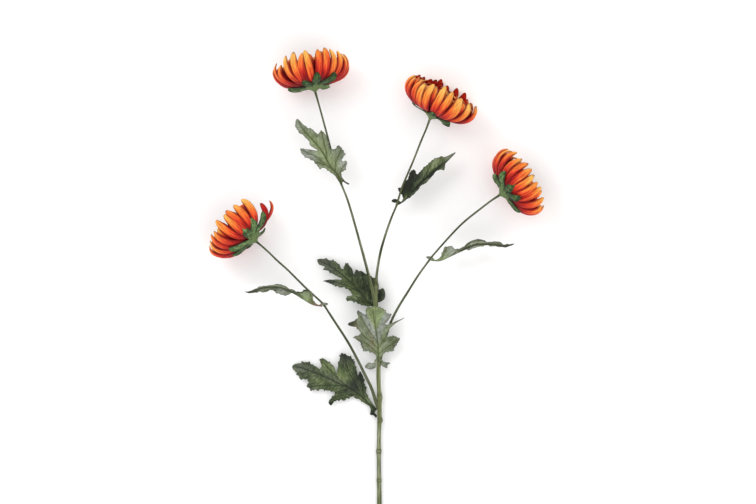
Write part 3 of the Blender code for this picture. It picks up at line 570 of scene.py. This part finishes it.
def petal_silk():
    """Dyed silk: crimson at the root, orange to golden at the tip, with fine streaks, and painted shade deep
    in the head and along the petals' sides.
    """
    made = Nodes("petal_silk")
    along, across, tone = made.parts(made.attribute("petal"))
    inside, depth, chance = made.parts(made.attribute("skin"))
    silk = made.attribute("silk")
    wide = made.noise(silk, (0.55, 0.05, 1.0))
    streak = made.noise(silk, (1.7, 0.07, 1.0), 3.0, 0.6)
    fine = made.noise(silk, (4.6, 0.16, 1.0))
    shift = made.swing(wide, 0.62, made.swing(streak, 0.62, made.swing(tone, 0.26, along)))
    # Painted shade: the lower parts of the inner rows are drawn redder and darker, as if shaded deep in the
    # head.
    buried_shade = made.times(made.between(depth, 0.0, 0.15), made.between(along, 0.55, 0.95, 0.42, 0.06))
    outer = made.ramp(
        made.math("SUBTRACT", shift, buried_shade), (0.0, 0.11, 0.001, 0.003), (0.26, 0.26, 0.003, 0.005),
        (0.43, 0.50, 0.014, 0.008), (0.57, 0.76, 0.062, 0.018), (0.71, 0.90, 0.165, 0.028),
        (0.87, 0.95, 0.32, 0.050), (1.0, 0.95, 0.50, 0.11))
    inner = made.ramp(
        along, (0.0, 0.18, 0.001, 0.003), (0.55, 0.42, 0.004, 0.006), (0.85, 0.66, 0.012, 0.010),
        (1.0, 0.72, 0.05, 0.02))
    colour = made.mix(inside, outer, inner)
    # Painted shade: each petal's sides go dark crimson, less so near the tip, for the shade between petals.
    edge = made.between(made.math("ABSOLUTE", across), 0.45, 0.9)
    colour = made.tinted(colour, (edge, made.between(along, 0.75, 1.0, 1.0, 0.55), (0.24, 0.004, 0.005)))
    colour = made.shaded(made.between(fine, 0.36, 0.64, 0.62, 1.18), colour)
    tip = made.between(along, 0.93, 1.0)
    colour = made.tinted(colour, (tip, made.between(chance, 0.35, 0.8, 0.15, 0.85), (0.16, 0.075, 0.035)))
    height = made.math("ADD", made.times(fine, 0.7), made.times(streak, 0.8))
    height = made.math("MULTIPLY_ADD", made.weave(silk, 1.9), 0.10, height)
    made.bump(height, 0.00035, 0.7)
    rough = made.between(streak, 0.3, 0.7, 0.62, 0.48)
    return made.finish(colour, rough, Specular_IOR_Level=0.14, Sheen_Weight=0.02, Sheen_Roughness=0.5)


def leaf_cloth():
    """Printed leaf cloth: dark green above, grey-green below, veined, mottled, dark at its margin, with
    painted light and shade in soft spots.
    """
    made = Nodes("leaf_cloth")
    vein, margin, back_face = made.parts(made.attribute("leaf"))
    pale, near, brown = made.parts(made.attribute("patch"))
    green, grey, _ = made.parts(made.attribute("tint"))
    cloth = made.attribute("cloth")
    broad = made.noise(cloth, (0.06, 0.10, 1.0), 3.0)
    mottle = made.noise(cloth, (0.26, 0.5, 1.0), 4.0, 0.65)
    fibre = made.noise(cloth, (0.12, 1.1, 1.0), 3.0, 0.6)
    share = made.swing(fibre, 1.4, made.swing(mottle, 1.4, made.swing(broad, 1.1, 0.48)))
    # pale adds painted light and shade, together with paler and darker patches of the cloth.
    share = made.math("ADD", share, pale, clamp=True)
    dull = made.between(share, 0.0, 1.0, 0.55, 1.5)
    front = made.ramp(
        share, (0.0, 0.018, 0.024, 0.016), (0.33, 0.045, 0.060, 0.031), (0.58, 0.085, 0.112, 0.053),
        (0.8, 0.150, 0.185, 0.095), (1.0, 0.28, 0.31, 0.21))
    front = made.tinted(
        front, (green, 0.6, made.shaded(dull, (0.120, 0.160, 0.055))),
        (grey, 0.75, made.shaded(dull, (0.085, 0.092, 0.076))), (vein, 0.85, (0.014, 0.020, 0.012)))
    rear = made.ramp(
        share, (0.0, 0.058, 0.068, 0.038), (0.30, 0.148, 0.174, 0.106), (0.62, 0.248, 0.280, 0.198),
        (1.0, 0.43, 0.45, 0.38))
    rear = made.tinted(
        rear, (near, 0.4, (0.165, 0.195, 0.080)), (green, 0.75, made.shaded(dull, (0.235, 0.300, 0.135))),
        (grey, 0.75, made.shaded(dull, (0.285, 0.308, 0.275))), (vein, 0.9, (0.050, 0.062, 0.016)))
    # Strongly negative pale turns the cloth near black: painted shade where the blade folds or turns away.
    deep_shade = made.between(pale, -1.35, -0.5, 0.85, 0.0)
    colour = made.tinted(
        made.mix(back_face, front, rear), (brown, 0.8, (0.26, 0.13, 0.085)),
        (deep_shade, made.between(mottle, 0.35, 0.6, 0.75, 1.0), (0.030, 0.034, 0.024)),
        (margin, made.between(fibre, 0.35, 0.6, 0.3, 0.9), (0.035, 0.040, 0.030)))
    height = made.math("MULTIPLY_ADD", made.weave(cloth, 1.6), 0.12, made.times(mottle, 1.2))
    height = made.math("MULTIPLY_ADD", fibre, 0.8, height)
    made.bump(height, 0.0006, 0.8)
    rough = made.between(mottle, 0.3, 0.7, 0.78, 0.60)
    return made.finish(colour, rough, Specular_IOR_Level=0.12, Sheen_Weight=0.02, Sheen_Roughness=0.6)


def stem_skin():
    """Moulded stem: olive with pale and dark streaks along its length, its joints dark at their edges."""
    made = Nodes("stem_skin")
    bark = made.attribute("bark")
    knot, shade, crease = made.parts(made.attribute("ring"))
    streak = made.noise(bark, (0.8, 0.8, 0.03), 3.0, 0.6)
    fine = made.noise(bark, (3.0, 3.0, 0.10))
    blotch = made.noise(bark, (0.3, 0.3, 0.05))
    colour = made.ramp(
        made.swing(blotch, 1.5, made.swing(streak, 3.2, 0.46), clamp=True), (0.0, 0.024, 0.030, 0.013),
        (0.40, 0.090, 0.112, 0.049), (0.66, 0.165, 0.192, 0.103), (1.0, 0.34, 0.36, 0.25))
    colour = made.tinted(
        colour, (knot, 0.45, (0.20, 0.22, 0.08)), (shade, 1.0, (0.045, 0.055, 0.022)),
        (crease, made.between(streak, 0.40, 0.58, 0.2, 0.7), (0.030, 0.032, 0.012)))
    made.bump(made.math("ADD", streak, made.times(fine, 0.5)), 0.0003, 0.6)
    return made.finish(colour, made.between(fine, 0.3, 0.7, 0.62, 0.46), Specular_IOR_Level=0.2)


def sepal_cloth():
    """Sepals and cup: dull green, paler along the veins and towards the stalk."""
    made = Nodes("sepal_cloth")
    _, across, tone = made.parts(made.attribute("petal"))
    _, cup, rib = made.parts(made.attribute("skin"))
    silk = made.attribute("silk")
    streak = made.noise(silk, (1.4, 0.14, 1.0), 3.0, 0.6)
    mottle = made.noise(silk, (0.35, 0.25, 1.0), 3.0)
    share = made.swing(tone, 0.5, made.swing(mottle, 1.8, made.swing(streak, 3.0, 0.42)), clamp=True)
    colour = made.ramp(
        share, (0.0, 0.012, 0.028, 0.008), (0.45, 0.042, 0.096, 0.024), (0.8, 0.115, 0.205, 0.058),
        (1.0, 0.24, 0.33, 0.14))
    edge = made.between(made.math("ABSOLUTE", across), 0.5, 1.0)
    colour = made.tinted(
        colour, (cup, 0.5, (0.18, 0.23, 0.09)), (rib, 0.5, (0.20, 0.27, 0.11)),
        (edge, 0.85, (0.018, 0.030, 0.010)))
    made.bump(made.math("ADD", streak, made.times(made.weave(silk, 1.7), 0.12)), 0.0004, 0.7)
    return made.finish(colour, 0.68, Specular_IOR_Level=0.15, Sheen_Weight=0.03, Sheen_Roughness=0.6)


# Flower heads.
class Axes:
    """A head's own axes: place() turns radius, height and angle into a point of the spray."""

    def __init__(self, head):
        heading = math.radians(head["heading"])
        rise = math.radians(head["rise"])
        self.base = np.array(head["base"])
        self.axis = np.array([
            math.cos(rise) * math.cos(heading), math.cos(rise) * math.sin(heading), math.sin(rise)])
        self.first = unit(np.cross(self.axis, UP))
        self.second = np.cross(self.axis, self.first)

    def outward(self, angle):
        return math.cos(angle) * self.first + math.sin(angle) * self.second

    def place(self, radius, height, angle):
        return self.base + self.axis * height + self.outward(angle) * radius


def stretched(curve, wide, tall):
    """A curve of (radius, height) stretched away from its first point."""
    root = np.array(curve[0])
    return [root + (np.array(point) - root) * (wide, tall) for point in curve]


def petal_width(t):
    """Half width of a petal as a share of its widest: a slim root, and a round tip with a small point."""
    lower = 0.25 + 0.75 * np.sin(0.5 * math.pi * np.minimum(t / 0.6, 1.0))
    upper = 0.10 + 0.90 * (1 - (np.clip(t - 0.6, 0.0, 0.4) / 0.4) ** 2.8) ** 0.62
    return np.where(t < 0.6, lower, upper)


def add_petal(body, axes, head, number, row, shape, grid):
    """One petal: a thin boat of silk, ribbed along its length, its tip turned inward."""
    angle, reach, height, lean, roll, tone, chance, wave, curl, side_bend = shape
    out = axes.outward(angle)
    across = np.cross(axes.axis, out)
    upright = out[2] ** 2
    wide = head["spread"] * (1 - PRESS * upright)
    tall = 1 + LIFT[min(number, len(LIFT) - 1)] * upright
    a, b, c, d = stretched(row["curve"], wide, tall)
    c = c + (0.7 * reach, 0.5 * height)
    d = d + (reach, height)

    # The middle line, a Bezier curve, with the side and outward directions along it.
    t = 1 - (1 - np.linspace(0.0, 1.0, grid[0])) ** 1.3
    u = t[:, None]
    v = 1 - u
    place = a * v ** 3 + 3 * b * v * v * u + 3 * c * v * u * u + d * u ** 3
    way = unit(3 * (b - a) * v * v + 6 * (c - b) * v * u + 3 * (d - c) * u * u)
    aside = lean * t * t + side_bend * rise_over(t, 0.72, 1.0)
    centre = axes.base + place[:, 1:] * axes.axis + place[:, :1] * out + across * aside[:, None]
    away = out * way[:, 1:] - axes.axis * way[:, :1]
    turn = roll * u
    side = across * np.cos(turn) + away * np.sin(turn)
    away = away * np.cos(turn) - across * np.sin(turn)

    # The cross-section: an arc, with ribs, a rippled edge and a tip that hooks inward.
    width = petal_width(t)
    half = 0.5 * row["width"] * width
    spread = np.linspace(-1.0, 1.0, grid[1])
    flat = np.sin(spread * PETAL_ARC) / math.sin(PETAL_ARC)
    arch = (np.cos(spread * PETAL_ARC) - math.cos(PETAL_ARC)) / (1 - math.cos(PETAL_ARC))
    fade = rise_over(t, 0.05, 0.3) * (1 - rise_over(t, 0.85, 1.0))
    ribs = PETAL_RIBS * np.outer(fade, np.cos(3.0 * math.pi * spread) * (1 - spread ** 4))
    ripple = PETAL_RIPPLE * np.outer(fade * np.sin(wave + t * 9.0), spread * np.abs(spread) ** 2)
    hook = curl * rise_over(t, 0.8, 1.0) ** 2
    lift = np.outer(PETAL_CUP * width, arch) + ribs + ripple - hook[:, None]
    outer = centre[:, None] + side[:, None] * np.outer(half, flat)[..., None]
    outer = outer + away[:, None] * lift[..., None]
    thick = PETAL_EDGE + (PETAL_THICK - PETAL_EDGE) * (1 - np.abs(spread) ** 3)
    thick = np.outer(np.where(t > 0.94, 0.7, 1.0), thick)
    body.add_blade(
        outer, outer - away[:, None] * thick[..., None], petal=(u, spread, tone),
        skin=(number / (len(PETAL_ROWS) - 1), chance),
        silk=(np.outer(half, spread), lengths_of(centre)[:, None], 37.0 * tone + 11.0 * number))


def add_turned(body, axes, outline, segments, marks, rib=0.0):
    """A closed body turned round a head's axis, ribbed a little if asked."""
    spots = [(0.0, outline[0][1], 0.0)]
    for radius, height in outline[1:-1]:
        spots += [(radius, height, TURN * step / segments) for step in range(segments)]
    spots.append((0.0, outline[-1][1], 0.0))
    last = len(spots) - 1
    points = []
    for radius, height, angle in spots:
        grown = 1 + rib * math.cos(12 * angle) * float(rise_over(radius, 1.6, 3.0))
        points.append(axes.place(radius * grown, height, angle))
    faces = []
    for step in range(segments):
        right = (step + 1) % segments
        faces.append((0, 1 + right, 1 + step))
        for ring in range(len(outline) - 3):
            low = 1 + ring * segments
            faces.append((low + step, low + right, low + segments + right, low + segments + step))
        faces.append((last - segments + step, last - segments + right, last))
    values = marks(*np.array(spots).T)
    body.add(points, faces, **{mark: marked((len(spots),), *entries) for mark, entries in values.items()})


def in_sector(angle, sector):
    """Whether an angle lies in a head's thin sector, given in degrees."""
    if sector is None:
        return False
    turned = (math.degrees(angle) - sector[0]) % 360.0
    return turned < sector[1] - sector[0]


def build_head(place, head, surface):
    axes = Axes(head)
    body = Body("petal", "skin", "silk")
    add_turned(
        body, axes, CORE, 32,
        lambda radius, height, angle: dict(
            petal=(0.1, 0.0, 0.2), skin=(1.0, 1.0, 0.0), silk=(10.0 * angle, height, 0.0)))
    draw = random.Random(head["seed"])
    extra = random.Random(head["seed"] + 500)
    jitter = PETAL_JITTER
    for number, row in enumerate(PETAL_ROWS):
        turn = TURN / row["count"]
        start = draw.uniform(0.0, turn)
        grid = PETAL_GRID if number < FINE_ROWS else INNER_GRID
        for index in range(row["count"]):
            angle = start + turn * (index + draw.uniform(-jitter["angle"], jitter["angle"]))
            reach = draw.uniform(-jitter["reach"], jitter["reach"])
            height = draw.uniform(jitter["low"], jitter["high"])
            lean = draw.uniform(-jitter["lean"], jitter["lean"])
            roll = math.radians(draw.uniform(-jitter["roll"], jitter["roll"]))
            shape = (
                angle, reach, height, lean, roll, extra.random(), extra.random(), extra.uniform(0.0, TURN),
                extra.uniform(0.0, 1.4), extra.uniform(-1.5, 1.5))
            if number < THINNED_ROWS and in_sector(angle, head.get("thin")):
                continue
            add_petal(body, axes, head, number, row, shape, grid)
    for angle, reach, height, roll in head.get("loose", []):
        shape = (
            math.radians(angle), reach, height, 0.0, math.radians(roll), 0.1, extra.random(), 0.0, 0.0, 0.0)
        add_petal(body, axes, head, 0, LOOSE_ROW, shape, PETAL_GRID)
    return body.mesh("bloom_" + place, surface)


def add_sepal(body, axes, head, sepal, tone):
    """One broad sepal hugging the back of the head, its tip rounded, with a raised middle vein."""
    angle, reach, height, curl = sepal
    out = axes.outward(math.radians(angle))
    across = np.cross(axes.axis, out)
    upright = out[2] ** 2
    wide = head["spread"] * reach * (1 - PRESS * upright)
    curve = stretched(SEPAL_CURVE, wide, height * (1 + LIFT[0] * upright))
    line = smooth_line([curve[0] - (3.0, 1.2)] + curve, 1.0)
    length = lengths_of(line)
    t = np.linspace(0.0, 1.0, SEPAL_GRID[0])
    u = t[:, None]
    radii = np.interp(t * length[-1], length, line[:, 0])
    heights = np.interp(t * length[-1], length, line[:, 1])
    centre = axes.base + heights[:, None] * axes.axis + radii[:, None] * out
    away = unit(0.27 * out - 0.96 * axes.axis)
    spread = np.linspace(-1.0, 1.0, SEPAL_GRID[1])
    half = 0.5 * SEPAL_WIDTH * np.interp(t, *zip(*SEPAL_OUTLINE))
    rib = 0.35 * bell(spread, 0.16)
    vein = 0.12 * bell(np.abs(spread) - 0.5, 0.12)
    droop = -0.7 * spread ** 2
    lower = np.maximum(-math.copysign(1.0, across[2]) * spread + 0.3, 0.0) / 1.3
    lift = 0.3 + (rib + vein + droop) + curl * np.outer(rise_over(t, 0.1, 0.5), lower ** 1.4)
    outer = centre[:, None] + across * np.outer(half, spread)[..., None] + away * lift[..., None]
    body.add_blade(
        outer, outer - away * SEPAL_THICK, petal=(u, spread, tone),
        skin=(1 - rise_over(u, 0.0, 0.35), bell(spread, 0.12) * (1 - 0.6 * u)),
        silk=(np.outer(half, spread), u * length[-1], 31.0 * tone))


def build_calyx(place, head, surface):
    axes = Axes(head)
    body = Body("petal", "skin", "silk")
    add_turned(
        body, axes, CUP, 48,
        lambda radius, height, angle: dict(
            petal=(0.0, 0.0, 0.5), skin=(0.0, 0.8, 0.5 + 0.5 * np.cos(12 * angle)),
            silk=(8.0 * angle, 1.3 * radius, 0.0)),
        rib=0.035)
    extra = random.Random(head["seed"] + 600)
    for sepal in head["sepals"]:
        add_sepal(body, axes, head, sepal, extra.random())
    return body.mesh("calyx_" + place + "_cloth", surface)


# Leaves.
def painted(leaf, kind, along, left):
    """How strongly a leaf is tinted, lightened or darkened at each place, partly as painted light and shade:
    soft spots, and bands that follow a V round the vein.
    """
    field = np.zeros(len(along))
    for place, aside, reach, breadth, amount in leaf.get(kind, []):
        field += amount * np.exp(-((along - place) / reach) ** 2 - ((left - aside) / breadth) ** 2)
    for start, slope, depth, amount in leaf.get(kind + "_vee", []):
        ahead = along - start - slope * np.abs(left)
        field += amount * rise_over(ahead, -0.6, 0.6) * (1 - rise_over(ahead, depth - 0.6, depth + 0.6))
    return field if kind == "pale" else np.clip(field, 0.0, 1.0)


def toothed(outline, teeth, phase):
    """A leaf's outline as a closed loop, with teeth that lean to its tip and fade where it is narrow."""
    loop = smooth_line(outline, 0.75, closed=True)
    ahead = np.roll(loop, -1, axis=0) - np.roll(loop, 1, axis=0)
    outward = unit(np.stack([ahead[:, 1], -ahead[:, 0]], axis=1))
    area = np.sum(loop[:, 0] * np.roll(loop[:, 1], -1) - np.roll(loop[:, 0], -1) * loop[:, 1])
    outward = outward * math.copysign(1.0, area)
    run = lengths_of(np.vstack([loop, loop[:1]]))[:-1]
    saw = ((run + phase + 1.5 * np.sin(run * 0.37) + 0.8 * np.sin(run * 0.9)) / TOOTH_PITCH) % 1.0
    saw = np.where(np.arange(len(loop)) > np.argmax(loop[:, 0]), 1 - saw, saw)
    tooth = np.where(saw < 0.7, saw / 0.7, (1 - saw) / 0.3)
    size = 0.8 + 0.3 * np.sin(run * 0.83 + phase)
    bite = rise_over(np.abs(loop[:, 1]), 2.0, 6.0) * rise_over(loop[:, 0], 2.0, 8.0)
    apart = np.abs(run[:, None] - run[None])
    apart = np.minimum(apart, run[-1] - apart)
    narrow = np.min(np.where(apart > 9.0, distances(loop, loop), 20.0), axis=1)
    bite *= rise_over(narrow, 3.5, 8.5)
    return loop + outward * ((TOOTH_DEPTH * tooth * size - TOOTH_SINK) * bite * teeth)[:, None]


def side_veins(leaf, stretch):
    """A bowed vein to each lobe and small ones off it, each with how strong it is."""
    branches = []
    steps = np.linspace(0.0, 1.0, 9)[:, None]
    for start, along, left in leaf["veins"]:
        root = np.array((start * stretch, 0.0))
        end = np.array((along * stretch, left))
        bow = root + (end - root) * (0.42, 0.30)
        branch = root * (1 - steps) ** 2 + 2 * bow * steps * (1 - steps) + end * steps ** 2
        branches.append((branch, LOBE_VEIN))
        for place in (2, 4, 6):
            way = unit(branch[place + 1] - branch[place - 1])
            for turn in (0.65, -0.75):
                turned = np.array((
                    way[0] * math.cos(turn) - way[1] * math.sin(turn),
                    way[0] * math.sin(turn) + way[1] * math.cos(turn)))
                tip = branch[place] + turned * (0.38 - 0.035 * place) * abs(left)
                branches.append((np.array([branch[place], tip]), SMALL_VEIN))
    return branches


def flat_mesh(loop, branches, long, draw):
    """Points and triangles of a flat leaf: its outline, its larger veins, and an even grid between."""
    pitch = LEAF_PITCH
    spine = [np.array((place, 0.0)) for place in np.arange(pitch, long - pitch, 0.8 * pitch)]
    for branch, weight in branches:
        if weight == LOBE_VEIN:
            spine += list(smooth_line(branch, 0.8 * pitch)[2:-1])
    spine = np.array(spine)
    spine = spine[distances(spine, loop).min(axis=1) > 0.5 * pitch]
    kept = []
    for point in spine:
        if all(np.linalg.norm(point - other) > 0.4 * pitch for other in kept):
            kept.append(point)
    spine = np.array(kept)
    grid = []
    low, high = loop.min(axis=0), loop.max(axis=0)
    odd = False
    x = low[0]
    while x < high[0]:
        y = low[1] + (0.5 * pitch if odd else 0.0)
        while y < high[1]:
            grid.append((x + draw.uniform(-0.1, 0.1), y + draw.uniform(-0.1, 0.1)))
            y += pitch
        x += pitch * 0.866
        odd = not odd
    grid = np.array(grid)
    grid = grid[distances(grid, loop).min(axis=1) > 0.55 * pitch]
    grid = grid[distances(grid, spine).min(axis=1) > 0.5 * pitch]
    fixed = [Vector(point) for point in np.vstack([loop, spine, grid]).tolist()]
    corners, _, triangles, _, _, _ = delaunay_2d_cdt(fixed, [], [list(range(len(loop)))], 1, 1e-5)
    return np.array([(corner.x, corner.y) for corner in corners]), [tuple(three) for three in triangles]


def bent(leaf, line, along, left, bulge):
    """Where a flat leaf's points lie once it is rolled, folded and bent to its vein's line."""
    lengths = lengths_of(line)
    ahead = np.gradient(line, axis=0)
    kernel = np.ones(5) / 5
    padded = np.pad(ahead, ((2, 2), (0, 0)), mode="edge")
    ahead = unit(np.stack([np.convolve(column, kernel, "valid") for column in padded.T], axis=1))
    level = unit(np.cross(UP, ahead))
    above = np.cross(ahead, level)

    def at(values):
        return np.stack([np.interp(along, lengths, column) for column in values.T], axis=1)

    centre = at(line) + at(ahead) * np.minimum(along, 0.0)[:, None]
    level = unit(at(level))
    above = unit(at(above))
    share = np.clip(along / lengths[-1], 0.0, 1.0)
    rolled, folded = share, (1 - share) ** FOLD_FADE
    if "span" in leaf:
        rolled = rise_over(share, *leaf["span"])
        folded = 1 - rolled
    roll = np.radians(leaf["roll"][0] + (leaf["roll"][1] - leaf["roll"][0]) * rolled)[:, None]
    leftward = level * np.cos(roll) + above * np.sin(roll)
    upward = above * np.cos(roll) - level * np.sin(roll)
    fold = np.radians(leaf["fold"][1] + (leaf["fold"][0] - leaf["fold"][1]) * folded)[:, None]
    soft = (np.sqrt(left ** 2 + SOFT_FOLD ** 2) - SOFT_FOLD)[:, None]
    hand = np.tanh(left / SOFT_FOLD)[:, None]
    places = centre + leftward * left[:, None] * np.cos(fold) + upward * soft * np.sin(fold)
    facing = upward * np.cos(fold) - leftward * hand * np.sin(fold)
    return places + facing * bulge[:, None]


def build_leaf(name, leaf, surface, seed):
    """A leaf cut flat with toothed lobes, veined, folded along its middle vein and bent."""
    draw = random.Random(seed)
    line = smooth_line(leaf["vein"], 1.5)
    long = lengths_of(line)[-1]
    stretch = long / max(point[0] for point in leaf["outline"])
    phase = draw.uniform(0.0, 5.0)
    outline = [(along * stretch if along > 0 else along, left) for along, left in leaf["outline"]]
    loop = toothed(outline, leaf["teeth"], phase)
    branches = side_veins(leaf, stretch)
    spots, triangles = flat_mesh(loop, branches, long, draw)
    along = spots[:, 0]
    left = spots[:, 1]

    # Printed veins, and how far the cloth is pressed in along them and puffed between them.
    wide = 1.0 - 0.55 * np.clip(along / long, 0.0, 1.0)
    closest = gap_to(spots, np.array([(0.0, 0.0), (long * 0.97, 0.0)]))
    vein = bell(closest, wide) * (1 - 0.6 * rise_over(along, leaf["rib_end"], leaf["rib_end"] + 5.0))
    relief = 0.55 * bell(closest, 1.5 * wide)
    for branch, weight in branches:
        gap = gap_to(spots, branch)
        breadth = 0.3 + 0.35 * weight
        vein = np.maximum(vein, weight * bell(gap, breadth))
        relief = np.maximum(relief, 0.42 * weight * bell(gap, 1.5 * breadth))
        if weight == LOBE_VEIN:
            closest = np.minimum(closest, gap)
    rim = distances(spots, loop[::2]).min(axis=1)
    margin = bell(rim, 0.9)
    puff = 1.2 * (1 - bell(closest, 4.0)) * rise_over(rim, 0.0, 3.5)
    swell = 0.6 * np.sin(along * 0.21 + phase) * np.sin(left * 0.17 + 1.3 * phase)
    swell += 0.35 * np.sin(along * 0.55 + 2 * phase) * np.sin(left * 0.47)
    swell *= rise_over(np.abs(left), 2.0, 10.0)
    for _ in range(7):
        heading = draw.uniform(0.0, TURN)
        wave = TURN / draw.uniform(3.5, 8.0)
        travel = along * math.cos(heading) + left * math.sin(heading)
        ripple = np.sin(wave * travel + draw.uniform(0.0, TURN))
        swell += 0.11 * ripple * rise_over(np.abs(left), 1.5, 6.0)
    back = 1.0 if leaf.get("back_up") else 0.0
    places = bent(leaf, line, along, left, (2 * back - 1) * (relief - 0.8 * puff) + swell)

    # Thickness along the normals, and a rim of faces round the edge.
    one, two, three = (places[corner] for corner in np.array(triangles).T)
    cross = np.cross(two - one, three - one)
    normals = np.zeros_like(places)
    for corner in np.array(triangles).T:
        np.add.at(normals, corner, cross)
    normals = normals / np.maximum(np.linalg.norm(normals, axis=1, keepdims=True), 1e-9)
    half = 0.5 * (LEAF_THICK - 0.25 * margin)[:, None]
    total = len(places)
    faces = triangles + [tuple(total + index for index in reversed(triangle)) for triangle in triangles]
    used = set()
    for triangle in triangles:
        used.update(zip(triangle, triangle[1:] + triangle[:1]))
    faces += [(one, total + one, total + two, two) for one, two in used if (two, one) not in used]

    # Marks for the material: the cloth's threads run aslant from the middle vein to both sides.
    # pale holds painted light and shade as well as paler and darker patches of the cloth.
    pale, green, grey, brown = (
        painted(leaf, kind, along / stretch, left) for kind in ("pale", "green", "grey", "brown"))
    slant = math.radians(42.0)
    aside = np.abs(left)
    cloth = marked(
        (total,), along * math.cos(slant) + aside * math.sin(slant),
        aside * math.cos(slant) - along * math.sin(slant), 13.0 * seed + 3.0 * np.sign(left))
    body = Body("leaf", "patch", "tint", "cloth")
    body.add(
        np.concatenate([places + normals * half, places - normals * half]), faces,
        leaf=np.concatenate([marked((total,), vein, margin, face) for face in (back, 1 - back)]),
        patch=np.concatenate([marked((total,), pale, bell(closest, 3.6), brown)] * 2),
        tint=np.concatenate([marked((total,), green, grey, 0.0)] * 2),
        cloth=np.concatenate([cloth, cloth + (0.0, 0.0, 5.0)]))
    return body.mesh(name + "_cloth", surface)


# Stem.
def add_tube(body, stations, sides, phase, shade):
    """A closed rod with soft ribs along its length, marked at its joints."""
    line = smooth_line(stations, 1.6)
    run = lengths_of(line[:, :3])
    ahead = unit(np.gradient(line[:, :3], axis=0))
    side = unit(np.cross(ahead, UP))
    rise = np.cross(side, ahead)
    turn = TURN * np.arange(sides) / sides
    ribs = STEM_RIBS * np.cos(5 * turn[None] + phase + run[:, None] * 0.01)
    waver = 0.012 * np.sin(run * 0.31 + phase)[:, None]
    radius = line[:, 3:] * (1 + ribs + waver)
    around = np.cos(turn)[None, :, None] * side[:, None] + np.sin(turn)[None, :, None] * rise[:, None]
    points = line[:, None, :3] + radius[..., None] * around
    rows = len(line)
    faces = []
    for i in range(rows - 1):
        for j in range(sides):
            a = i * sides + j
            b = i * sides + (j + 1) % sides
            faces.append((a, a + sides, b + sides, b))
    faces.append(tuple(range(sides)))
    faces.append(tuple(rows * sides - 1 - j for j in range(sides)))
    base = np.interp(run, [0, run[-1]], [stations[0][3], stations[-1][3]])
    knot = np.clip((line[:, 3] - base) / 0.45, 0.0, 1.0)
    crease = np.clip((np.abs(np.gradient(line[:, 3], run)) - 0.05) / 0.12, 0.0, 1.0)
    shape = (rows, sides)
    body.add(
        points, faces,
        bark=marked(shape, 2.2 * np.cos(turn), 2.2 * np.sin(turn), run[:, None] + 91.0 * phase),
        ring=marked(shape, knot[:, None], shade, crease[:, None]))


def build_stem(surface):
    body = Body("bark", "ring")
    add_tube(body, MAIN_STEM, 28, 0.4, 0.0)
    for phase, (place, stations) in enumerate(STALKS.items()):
        axes = Axes(HEADS[place])
        end = axes.base - axes.axis * (CUP_FOOT + SEAT_GAP)
        add_tube(body, stations + [(*end, STALK_END)], 20, 1.3 + phase, STALK_SHADE[place])
    return body.mesh("stem_moulded", surface, sharp=55.0)


petal_surface = petal_silk()
sepal_surface = sepal_cloth()
stem_surface = stem_skin()
leaf_surface = leaf_cloth()

pieces = []
stem = build_stem(stem_surface)
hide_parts("stem")
pieces.append(stem)
for seed, (name, leaf) in enumerate(LEAVES.items()):
    made = build_leaf(name, leaf, leaf_surface, seed + 3)
    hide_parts(name)
    pieces.append(made)
for place, head in HEADS.items():
    made = build_head(place, head, petal_surface)
    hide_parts("petals_" + place)
    pieces.append(made)
    made = build_calyx(place, head, sepal_surface)
    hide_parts("calyx_" + place)
    pieces.append(made)
for made in pieces:
    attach(made, "root")

# Stage: pale floor, soft light from above and a little to the left, camera looking straight down.
floor_mesh = bpy.data.meshes.new("floor")
floor_mesh.from_pydata([(-5, -5, 0), (5, -5, 0), (5, 5, 0), (-5, 5, 0)], [], [(0, 1, 2, 3)])
floor = bpy.data.objects.new("floor", floor_mesh)
bpy.context.scene.collection.objects.link(floor)
paper = Nodes("floor_paper")
floor_mesh.materials.append(paper.finish((0.97, 0.97, 0.97, 1.0), 0.9, Specular_IOR_Level=0.1))

world = bpy.data.worlds.new("studio")
bpy.context.scene.world = world
world.use_nodes = True
background = world.node_tree.nodes["Background"]
background.inputs["Color"].default_value = (1.0, 1.0, 1.0, 1.0)
background.inputs["Strength"].default_value = 1.0


def softbox(name, place, aim, size, power):
    light = bpy.data.lights.new(name, "AREA")
    light.shape = "DISK"
    light.size = size
    light.energy = power
    thing = bpy.data.objects.new(name, light)
    thing.location = place
    thing.rotation_euler = (Vector(aim) - Vector(place)).to_track_quat("-Z", "Y").to_euler()
    bpy.context.scene.collection.objects.link(thing)


softbox("key", (-1.1, 1.0, 1.9), (0.0, 0.06, 0.03), 1.1, 9.0)
softbox("fill", (1.3, -0.9, 2.2), (0.0, 0.06, 0.03), 1.6, 5.0)

# A long lens, so that the view is almost flat. At the leaves' height, a pixel of the photograph
# shows MM_PER_PIXEL.
MM_PER_PIXEL = 1.1
FRAME_WIDTH = 756
FRAME_CENTRE = (0.55, 60.8)
LEAF_HEIGHT = 30
LENS = 300.0
SENSOR = 36.0
camera = bpy.data.cameras.new("camera")
camera.lens = LENS
camera.sensor_width = SENSOR
camera.clip_end = 50.0
viewer = bpy.data.objects.new("camera", camera)
distance = FRAME_WIDTH * MM_PER_PIXEL * LENS / SENSOR + LEAF_HEIGHT
viewer.location = (FRAME_CENTRE[0] * MM, FRAME_CENTRE[1] * MM, distance * MM)
viewer.rotation_euler = (0.0, 0.0, 0.0)
bpy.context.scene.collection.objects.link(viewer)
bpy.context.scene.camera = viewer
bpy.context.scene.view_settings.view_transform = "Standard"
bpy.context.scene.view_settings.exposure = 0.10
